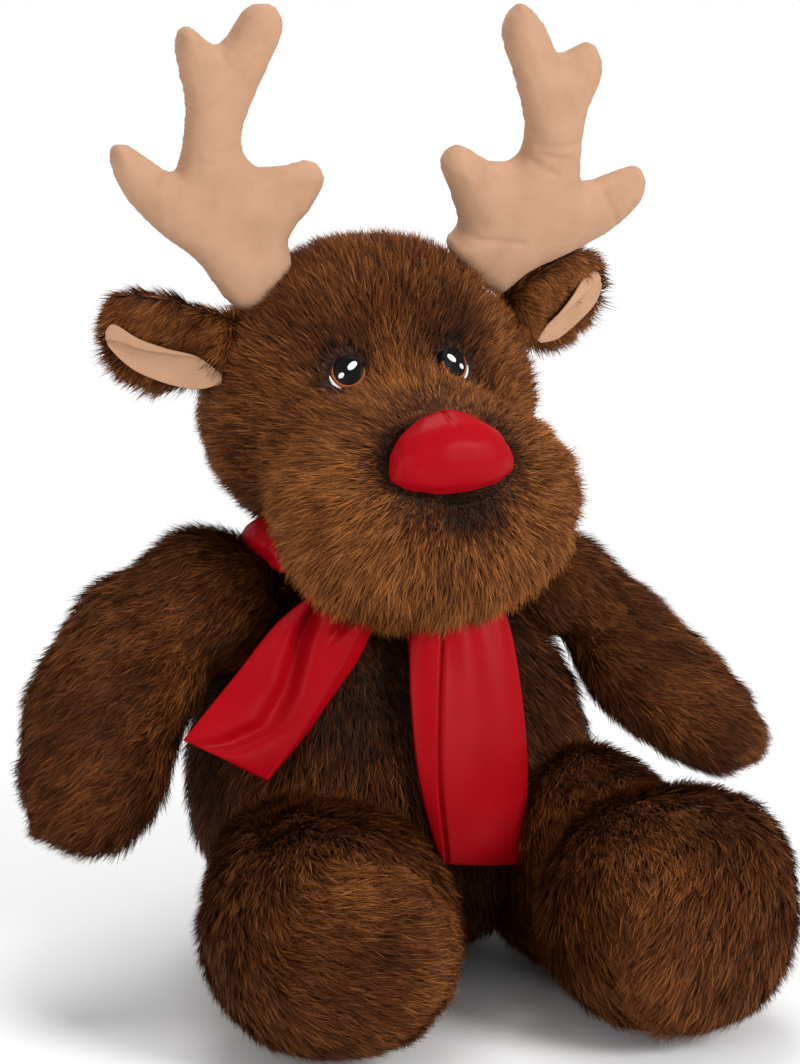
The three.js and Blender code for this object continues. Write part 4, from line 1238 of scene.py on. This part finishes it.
for side, sign in SIDES.items():
    body = side + "_ear"
    ear, reach = ear_skin(side, pivots[body])
    points, normals = points_of(ear.data), normals_of(ear.data)
    facing = smoothly(normals @ np.array([0.4 * sign, -0.9, 0]), *BARE_FACING)
    bare = facing * (1 - smoothly(gaps_to(points, linings[side]), *BARE_GAP))
    low = smoothly(-normals[:, 2], *UNDERSIDE)
    front = smoothly(-normals[:, 1], *EAR_FRONT)
    way = reach - Z * (0.35 + 0.8 * np.maximum(low, front)[:, None])
    tone = EAR_TONE + 0.2 * mottled(points, EAR_PATCH, 7)
    brush(ear, tangent(way, normals), PILE_LENGTH * (0.75 + 0.35 * low), tone, 1 - bare)
    grow(body + "_back_fur", ear, EAR_STRANDS, 61, body)
    dress(ear, body, [body + "_fur"], backing)

# %% [markdown]
# ## The nose
#
# The nose is a stuffed satin pad, widest in its lower half. The frame's solid is smoothed, and
# each of its levels is widened or narrowed, so that its outline is an egg on its side. A dart
# at its top takes up the cloth, and its ends are gathered where it is sewn to the muzzle.

# %% The nose
NOSE_NODES = ["nose_cover", "nose_stuffing"]
NOSE_GRAIN = 1.2 * MM
NOSE_ROUNDS = 30
NOSE_TILT = math.radians(24)
NOSE_HALF_WIDTH = 32.5 * MM
NOSE_WIDEST = -0.45
NOSE_SHIFT = np.array([-3, 0, 2.5]) * MM
NOSE_LEVELS = 30
NOSE_STRETCH = (0.3, 1.15)
DART_TOP = 2.5 * MM
DART_HALF_WIDTH = 1 * MM
DART_DEPTH = 1.5 * MM
NOSE_CREASE_DEPTH = 0.45 * MM
GATHER_DEPTH = 0.8 * MM
GATHER_SIZE = 3.2 * MM
NOSE_SAG_DEPTH = 0.35 * MM
NOSE_SAG_SIZE = 14 * MM
nose_up = np.array([0, math.sin(NOSE_TILT), math.cos(NOSE_TILT)])


def egg_width(points, up_share):
    """How much each point's level is widened, for the outline of an egg on its side."""
    level = np.clip(((up_share + 1) / 2 * NOSE_LEVELS).astype(int), 0, NOSE_LEVELS - 1)
    reached = np.array([np.abs(points[level == i, 0]).max() for i in range(NOSE_LEVELS)])
    levels = (np.arange(NOSE_LEVELS) + 0.5) / NOSE_LEVELS * 2 - 1
    above = np.clip((levels - NOSE_WIDEST) / (1 - NOSE_WIDEST), 0, 1)
    below = np.clip((NOSE_WIDEST - levels) / (1 + NOSE_WIDEST), 0, 1)
    wanted = NOSE_HALF_WIDTH * (1 - above**1.9) ** 0.6 * (1 - below**3.2) ** 0.45
    return np.interp(up_share, levels, np.clip(wanted / reached, *NOSE_STRETCH))


def nose_folds(points, height, up_share):
    """The dart at the top, a crease before each end, gathers at the ends and soft sags."""
    side_share = np.abs(points[:, 0]) / NOSE_HALF_WIDTH
    dart = valley(points[:, 0], DART_TOP * (1 - up_share) - DART_TOP, DART_HALF_WIDTH)
    dart = dart * smoothly(up_share, 0.35, 0.75)
    crease = valley(side_share, 0.88 - 0.12 * (up_share + 0.3) ** 2, 0.022)
    crease = crease * smoothly(0.75 - np.abs(up_share + 0.2), 0, 0.4)
    gathers = mottled(np.outer(height, Z), GATHER_SIZE, 9) * smoothly(side_share, 0.82, 1.0)
    sags = mottled(points, NOSE_SAG_SIZE, 10)
    inwards = -DART_DEPTH * dart - NOSE_CREASE_DEPTH * crease
    return inwards + GATHER_DEPTH * gathers + NOSE_SAG_DEPTH * sags


nose = skin_over("nose_skin", NOSE_NODES, NOSE_GRAIN, NOSE_ROUNDS)
points = points_of(nose.data)
height = (points - NOSE) @ nose_up
up_share = 2 * (height - height.min()) / (height.max() - height.min()) - 1
points[:, 0] *= egg_width(points, up_share)
move_points(nose.data, points)
folds = nose_folds(points, height, up_share)
move_points(nose.data, points + normals_of(nose.data) * folds[:, None] + NOSE_SHIFT)
dress(nose, "head", NOSE_NODES, satin)
print("the nose spans", np.ptp(points_of(nose.data), axis=0).round(4))

# %% [markdown]
# ## The mouth
#
# The mouth is a line of dark stitches under the nose. It pulls the fur in, so it lies deep in
# the pile and shows only as a dark place.

# %% The mouth
MOUTH_SHIFT = (Y * 12 + Z * 4) * MM
MOUTH_GRAIN = 0.8 * MM
MOUTH_ROUNDS = 4

mouth = skin_over("mouth_thread", ["mouth_stitch"], MOUTH_GRAIN, MOUTH_ROUNDS)
move_points(mouth.data, points_of(mouth.data) + MOUTH_SHIFT)
dress(mouth, "head", ["mouth_stitch"], thread)
print("the mouth spans", np.ptp(points_of(mouth.data), axis=0).round(4))

# %% [markdown]
# ## The eyes
#
# The eyes are embroidered in glossy thread: a black round, a brown arc of iris round its
# lower edge, a sliver of white on the outer side and two white glints. They could be flat
# colours on the head, but thread stands up from the fabric. So each eye is a low dome that
# looks a little outwards and up, and the glints and arcs stand a hair above the black.

# %% The eyes' thread
STITCH = 0.9 * MM
STITCH_HEIGHT = 0.1 * MM
WAVE_UNIT = 20
BLACK, BROWN, WHITE = range(3)


def eye_thread(name, colour, roughness, gloss):
    """Rows of satin stitch in one colour of thread."""
    even = {"base_color": (*colour, 1), "roughness": roughness, "specular_ior_level": gloss}
    material, tree, shader = finish_named("eye " + name, **even)
    place = node(tree, "ShaderNodeTexCoord").outputs["Object"]
    scale = 1 / STITCH / WAVE_UNIT
    rows = node(tree, "ShaderNodeTexWave", Scale=scale, Distortion=0.6, Detail=1.0, Vector=place)
    raised = node(tree, "ShaderNodeBump", Strength=0.25, Distance=STITCH_HEIGHT, Height=rows.outputs["Fac"])
    tree.links.new(raised.outputs[0], shader.inputs["Normal"])
    return material


eye_threads = [
    eye_thread("black", (0.002, 0.002, 0.002), 0.45, 0.12),
    eye_thread("brown", (0.3, 0.07, 0.02), 0.5, 0.2),
    eye_thread("white", (0.8, 0.8, 0.78), 0.5, 0.2),
]
print("eye threads:", [material.name for material in eye_threads])

# %% Patches and arcs of thread
EYE_RADIUS = 7.9 * MM
EYE_BULGE = 1.8 * MM
EYE_SUNK = 1 * MM
DOME_REACH = 1.25
PATCH_RINGS = 5
PATCH_POINTS = 32
ARC_STEPS = 20
ARC_END = 0.02


def dome_height(across, up):
    """How far the eye stands out, at a place on it."""
    share = np.clip((across**2 + up**2) / (EYE_RADIUS * DOME_REACH) ** 2, 0, 1)
    return EYE_BULGE * (1 - share) - EYE_SUNK


def round_outline(across, up, wide, high, turn=0.0):
    """Points round an ellipse that is turned about its middle."""
    angles = np.arange(PATCH_POINTS) * 2 * math.pi / PATCH_POINTS
    c, s = math.cos(turn), math.sin(turn)
    along, beside = wide * np.cos(angles), high * np.sin(angles)
    return np.stack([across + along * c - beside * s, up + along * s + beside * c], axis=1)


def eye_patch(shape, place_of, outline, lift, index, back):
    """A closed patch with a domed front over an outline round its own middle."""
    middle = outline.mean(0)
    levels = [[place_of(*p, back) for p in outline]]
    for ring in range(PATCH_RINGS, 0, -1):
        share = ring / PATCH_RINGS
        rise = lift * math.sqrt(1 - share**2)
        spots = middle + (outline - middle) * share
        levels.append([place_of(*p, dome_height(*p) + rise) for p in spots])
    loops = [[shape.verts.new(p) for p in level] for level in levels]
    top = shape.verts.new(place_of(*middle, dome_height(*middle) + lift))
    bottom = shape.verts.new(place_of(*middle, back))
    count = len(outline)
    for i in range(count):
        j = (i + 1) % count
        for lower, upper in zip(loops, loops[1:]):
            shape.faces.new((lower[i], lower[j], upper[j], upper[i])).material_index = index
        shape.faces.new((loops[-1][i], loops[-1][j], top)).material_index = index
        shape.faces.new((loops[0][j], loops[0][i], bottom)).material_index = index


def arc_patch(shape, place_of, radius, width, start, end, lift, index, back):
    """A closed arc of thread that narrows to both ends."""
    loops = []
    for share in np.arange(ARC_STEPS + 1) / ARC_STEPS:
        angle = math.radians(start + (end - start) * share)
        half = width / 2 * math.sqrt(max(1 - (2 * share - 1) ** 2, ARC_END))
        ring = []
        for offset, rise in ((-half, 0), (0, lift), (half, 0), (half, None), (-half, None)):
            across = (radius + offset) * math.cos(angle)
            up = (radius + offset) * math.sin(angle)
            deep = back if rise is None else dome_height(across, up) + rise
            ring.append(shape.verts.new(place_of(across, up, deep)))
        loops.append(ring)
    for first, second in zip(loops, loops[1:]):
        for i in range(len(first)):
            j = (i + 1) % len(first)
            shape.faces.new((first[i], second[i], second[j], first[j])).material_index = index
    shape.faces.new(loops[0]).material_index = index
    shape.faces.new(loops[-1][::-1]).material_index = index


# %% The eyes
EYE_TURN = math.radians(27)
EYE_TILT = 0.42
EYE_BACK = -9 * MM
ARC_BACK = -2 * MM
IRIS = {"radius": EYE_RADIUS * 1.03, "width": 1.7 * MM, "start": -195, "end": 15, "lift": 0.5 * MM}
SLIVER = {"radius": EYE_RADIUS * 1.24, "width": 1.5 * MM, "start": -85, "end": -15, "lift": 0.4 * MM}
GLINT_TURN = -0.8
GLINT_LIFT = 0.4 * MM
GLINTS = [
    (-2 * MM, 2.6 * MM, 2.9 * MM, 1.7 * MM),
    (3.4 * MM, -2.6 * MM, 1.7 * MM, 1.3 * MM),
]


def eye_places(side, sign):
    """A function that gives a place on an eye, from across (outwards), up and out."""
    look_out = np.array([sign * math.sin(EYE_TURN), -math.cos(EYE_TURN), EYE_TILT])
    look_out /= np.linalg.norm(look_out)
    sideways = np.cross(Z, look_out)
    sideways *= sign / np.linalg.norm(sideways)
    upward = sign * np.cross(look_out, sideways)
    return lambda across, up, out: tuple(EYES[side] + sideways * across + upward * up + look_out * out)


for side, sign in SIDES.items():
    name = side + "_eye"
    place_of = eye_places(side, sign)
    shape = bmesh.new()
    eye_patch(shape, place_of, round_outline(0, 0, EYE_RADIUS, EYE_RADIUS), 0, BLACK, EYE_BACK)
    arc_patch(shape, place_of, index=BROWN, back=ARC_BACK, **IRIS)
    arc_patch(shape, place_of, index=WHITE, back=ARC_BACK, **SLIVER)
    for glint in GLINTS:
        eye_patch(shape, place_of, round_outline(*glint, GLINT_TURN), GLINT_LIFT, WHITE, 0)
    bmesh.ops.recalc_face_normals(shape, faces=shape.faces)
    mesh = mesh_of(name, shape)
    for material in eye_threads:
        mesh.materials.append(material)
    mesh.shade_smooth()
    eye = in_scene(name, mesh)
    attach(eye, "head")
    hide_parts(side + "_eye_patch", side + "_eye_rim")
print("two eyes look", round(math.degrees(EYE_TURN)), "degrees outwards")

# %% [markdown]
# ## The scarf
#
# The scarf is a doubled strip of satin, pressed flat and tied under the chin. Each end is a
# sheet that starts gathered at the knot and opens out to its hem. Its rows of edge points
# give its way, and folds are added along its length, deepest at the knot.

# %% The scarf's ends
END_ROWS = {
    "right": [
        [(-55, -38, 210), (-26, -48, 193)],
        [(-66, -36, 204), (-34, -50, 188)],
        [(-80, -31, 191), (-42, -49, 173)],
        [(-99, -32, 170), (-56, -48, 154)],
        [(-115, -36, 155), (-70, -49, 137)],
        [(-131, -42, 141), (-90, -51, 117)],
    ],
    "left": [
        [(-12, -52, 192), (35, -48, 199)],
        [(-15, -57, 181), (40, -53, 183)],
        [(-18, -66, 156), (43, -61, 150)],
        [(-18, -75, 120), (43, -70, 112)],
        [(-12, -79, 87), (40, -76, 81)],
        [(-7, -80, 73), (38, -78, 67)],
    ],
}
END_THICKNESS = 2.2 * MM
VALLEY_DOWN = (0, 0.2, 0.4, 0.6, 0.8, 0.93, 1)
VALLEY_ACROSS = (0.1, 0.2, 0.33, 0.54, 0.61, 0.42, 0.2)
VALLEY_TOP = 13 * MM
VALLEY_EASES = 9 * MM
SHORT_VALLEY = 9 * MM
TURNED_EDGE = 5 * MM
EDGE_LINE = 1.2 * MM
RIGHT_ROLL = 3.5 * MM
GROOVE_DOWN = (0, 0.2, 0.6, 0.8, 1)
GROOVE_ACROSS = (0.3, 0.28, 0.16, 0.1, 0.04)
GROOVE = 3.2 * MM
SIDE_PANEL = 5 * MM
DIP = 1.5 * MM
HEM_SWELL = 0.8 * MM
GATHERS = 1.6 * MM
LEFT_ROLL = 4 * MM


def right_end_fold(across, down):
    """A deep valley that turns aside above the hem, a short one, and the turned-back edge."""
    line = np.interp(down, VALLEY_DOWN, VALLEY_ACROSS)
    depth = VALLEY_TOP - VALLEY_EASES * down
    long_fold = -depth * valley(across, line, 0.05 + 0.1 * down) * smoothly(1.1 - down, 0, 0.2)
    short_fold = -SHORT_VALLEY * valley(across, 0.62, 0.08) * (1 - smoothly(down, 0.15, 0.42))
    edge = np.clip((across - 0.78 - 0.18 * down) / 0.2, 0, None)
    turned = TURNED_EDGE * edge + EDGE_LINE * valley(edge, 0, 0.03)
    return long_fold + short_fold - turned + RIGHT_ROLL * np.sin(across * math.pi) ** 0.8


def left_end_fold(across, down):
    """A groove beside a narrow panel that turns away, and a soft dip above the hem."""
    line = np.interp(down, GROOVE_DOWN, GROOVE_ACROSS)
    groove = -GROOVE * valley(across, line, 0.014)
    panel = -SIDE_PANEL * np.clip((line - across) / 0.3, 0, None)
    dip = -DIP * valley(down, 0.7, 0.12) * smoothly(across, 0.25, 0.6)
    swell = HEM_SWELL * valley(down, 0.86, 0.09) * np.sin(across * math.pi)
    gathers = GATHERS * (1 - down) ** 3 * np.sin(across * 16)
    return groove + panel + dip + swell + gathers + LEFT_ROLL * np.sin(across * math.pi) ** 0.8


for side, fold in (("right", right_end_fold), ("left", left_end_fold)):
    end = strip(side + "_scarf_satin", END_ROWS[side], END_THICKNESS, fold, satin)
    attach(end, side + "_scarf_end")
    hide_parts(side + "_scarf_end")
    area = sum(face.area for face in end.data.polygons) / 2
    print(end.name, "covers", round(area * 10000, 1), "cm2")

# %% [markdown]
# The band goes round the neck between the head and the shoulders, and the knot holds it under
# the chin. Both are soft rolls. The frame's band is a ring of straight pieces, so its reach
# from the neck is evened out all round. It leans on the neck, thins towards the knot, and
# rises where the muzzle hides it. The knot is pulled in behind the end that hangs from it.

# %% The scarf's band
BAND_GRAIN = 2 * MM
BAND_ROUNDS = 36
NECK_MIDDLE = np.array([0, 20, 0]) * MM
BAND_FRONT = (-38 * MM, -5 * MM)
HIDDEN_ACROSS = (-40 * MM, -15 * MM)
HIDDEN_DEPTH = (-20 * MM, 15 * MM)
LIFT, LIFT_FRONT, LIFT_HIDDEN = 3 * MM, 6 * MM, 19 * MM
PUSH_FRONT, PUSH_HIDDEN = 11 * MM, 9 * MM
THIN_FRONT, THIN_HIDDEN = 0.6, 0.2
TOP_LEANS = 0.7
NARROW_COUNT = 81
WIDE_SHARES = 14
PLEAT_PATCH = 40 * MM
BAND_PLEATS = (2.4 * MM, 0.7 * MM)


def mean_around(values, order, count):
    """The mean of the values over the nearest places round the neck."""
    means = np.empty(len(values))
    looped = np.pad(values[order], count // 2, mode="wrap")
    means[order] = np.convolve(looped, np.ones(count) / count, "valid")
    return means


def pleated(thing, heights, size, depth):
    """Fine pleats along a roll of cloth, that wander a little."""
    points = points_of(thing.data)
    pleats = np.sin(heights / size + 2.5 * mottled(points, PLEAT_PATCH, 11)) * depth
    move_points(thing.data, points + normals_of(thing.data) * pleats[:, None])


band = skin_over("scarf_neck_band_satin", ["scarf_neck_band"], BAND_GRAIN, BAND_ROUNDS)
points = points_of(band.data)
away = (points - NECK_MIDDLE)[:, :2]
order = np.argsort(np.arctan2(away[:, 0], away[:, 1]))
reach = np.linalg.norm(away, axis=1)
wide_count = len(points) // WIDE_SHARES * 2 + 1
rounded = mean_around(reach, order, wide_count) - mean_around(reach, order, NARROW_COUNT)
points[:, :2] += away * (rounded / reach)[:, None]
front = 1 - smoothly(points[:, 1], *BAND_FRONT)
hidden = (1 - smoothly(points[:, 0], *HIDDEN_ACROSS)) * (1 - smoothly(points[:, 1], *HIDDEN_DEPTH))
middle = mean_around(points[:, 2], order, NARROW_COUNT)
above = points[:, 2] - middle
lift = LIFT + LIFT_FRONT * front + LIFT_HIDDEN * hidden
points[:, 2] = middle + above * (1 - THIN_FRONT * front - THIN_HIDDEN * hidden) + lift
to_neck = NECK_MIDDLE - points
to_neck[:, 2] = 0
to_neck /= np.linalg.norm(to_neck, axis=1, keepdims=True)
push = np.clip(above, 0, None) * TOP_LEANS * (1 - front) + PUSH_FRONT * front + PUSH_HIDDEN * hidden
move_points(band.data, points + to_neck * push[:, None])
pleated(band, above, *BAND_PLEATS)
dress(band, "torso", ["scarf_neck_band"], satin)
print("the band spans", np.ptp(points_of(band.data), axis=0).round(3))

# %% The scarf's knot
KNOT_GRAIN = 1.5 * MM
KNOT_ROUNDS = 10
KNOT_WIDTH = 0.6
KNOT_HEIGHT = 0.5
KNOT_BEHIND = 10 * MM
KNOT_PLEATS = (1.9 * MM, 0.9 * MM)

knot = skin_over("scarf_knot_satin", ["scarf_knot"], KNOT_GRAIN, KNOT_ROUNDS)
points = points_of(knot.data)
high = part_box("scarf_knot")[1]
points[:, 0] = high[0] - (high[0] - points[:, 0]) * KNOT_WIDTH
points[:, 2] = high[2] - (high[2] - points[:, 2]) * KNOT_HEIGHT
points[:, 1] += KNOT_BEHIND
move_points(knot.data, points)
pleated(knot, points[:, 2], *KNOT_PLEATS)
dress(knot, "torso", ["scarf_knot"], satin)
print("the knot spans", np.ptp(points_of(knot.data), axis=0).round(3))

# %% [markdown]
# ## Light and floor
#
# Three soft lamps and a pale world light the toy evenly. The floor is white and matt. Far
# from the toy it turns into the same white as the world, so that no horizon shows, and
# round the toy it keeps the soft shadow.

# %% The floor
FLOOR_HALF = 6.0
FLOOR_FADE = {"From_Min": 0.3, "From_Max": 0.7}


def floor_finish():
    """Matt white near the toy, and plain white for the camera further out."""
    even = {"roughness": 0.9, "base_color": (0.93, 0.93, 0.93, 1), "specular_ior_level": 0.0}
    material, tree, shader = finish_named("floor", **even)
    place = node(tree, "ShaderNodeTexCoord").outputs["Object"]
    distance = node(tree, "ShaderNodeVectorMath", operation="LENGTH", _0=place)
    far = node(tree, "ShaderNodeMapRange", Value=distance.outputs["Value"], **FLOOR_FADE)
    seen = node(tree, "ShaderNodeLightPath").outputs["Is Camera Ray"]
    glow = node(tree, "ShaderNodeEmission", Strength=1.0)
    mix = node(tree, "ShaderNodeMixShader", Fac=number(tree, "MULTIPLY", far.outputs[0], seen),
               _1=shader.outputs[0], _2=glow.outputs[0])
    tree.links.new(mix.outputs[0], tree.nodes["Material Output"].inputs["Surface"])
    return material


corners = [(-FLOOR_HALF, -FLOOR_HALF, 0), (FLOOR_HALF, -FLOOR_HALF, 0),
           (FLOOR_HALF, FLOOR_HALF, 0), (-FLOOR_HALF, FLOOR_HALF, 0)]
floor_mesh = bpy.data.meshes.new("floor")
floor_mesh.from_pydata(corners, [], [(0, 1, 2, 3)])
floor_mesh.materials.append(floor_finish())
in_scene("floor", floor_mesh)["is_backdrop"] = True
print("the floor is", FLOOR_HALF * 2, "m wide")

# %% The world and the lamps
WORLD_STRENGTH = 0.5
LAMPS_LOOK_AT = np.array([0, 0, 0.25])
LAMPS = {
    "key": ((1.1, -1.9, 1.2), 1.0, 44),
    "fill": ((-1.8, -1.2, 0.8), 1.2, 14),
    "top": ((0.1, 0.5, 1.9), 1.2, 20),
}

world = bpy.data.worlds.new("studio")
bpy.context.scene.world = world
world.use_nodes = True
background = world.node_tree.nodes["Background"]
background.inputs["Color"].default_value = (1, 1, 1, 1)
seen = node(world.node_tree, "ShaderNodeLightPath").outputs["Is Camera Ray"]
strength = number(world.node_tree, "MAXIMUM", seen, WORLD_STRENGTH)
world.node_tree.links.new(strength, background.inputs["Strength"])
for name, (place, size, power) in LAMPS.items():
    light = bpy.data.lights.new(name, "AREA")
    light.shape = "DISK"
    light.size = size
    light.energy = power
    look(in_scene(name, light), np.array(place), LAMPS_LOOK_AT)
bpy.context.scene.view_settings.view_transform = "Standard"
print("lamps:", list(LAMPS))

# %% The sizes, and the end
made_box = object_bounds()
for name, box in (("solids", cad_box), ("dressed", made_box)):
    print(name, [round(c, 3) for c in box[1] - box[0]])
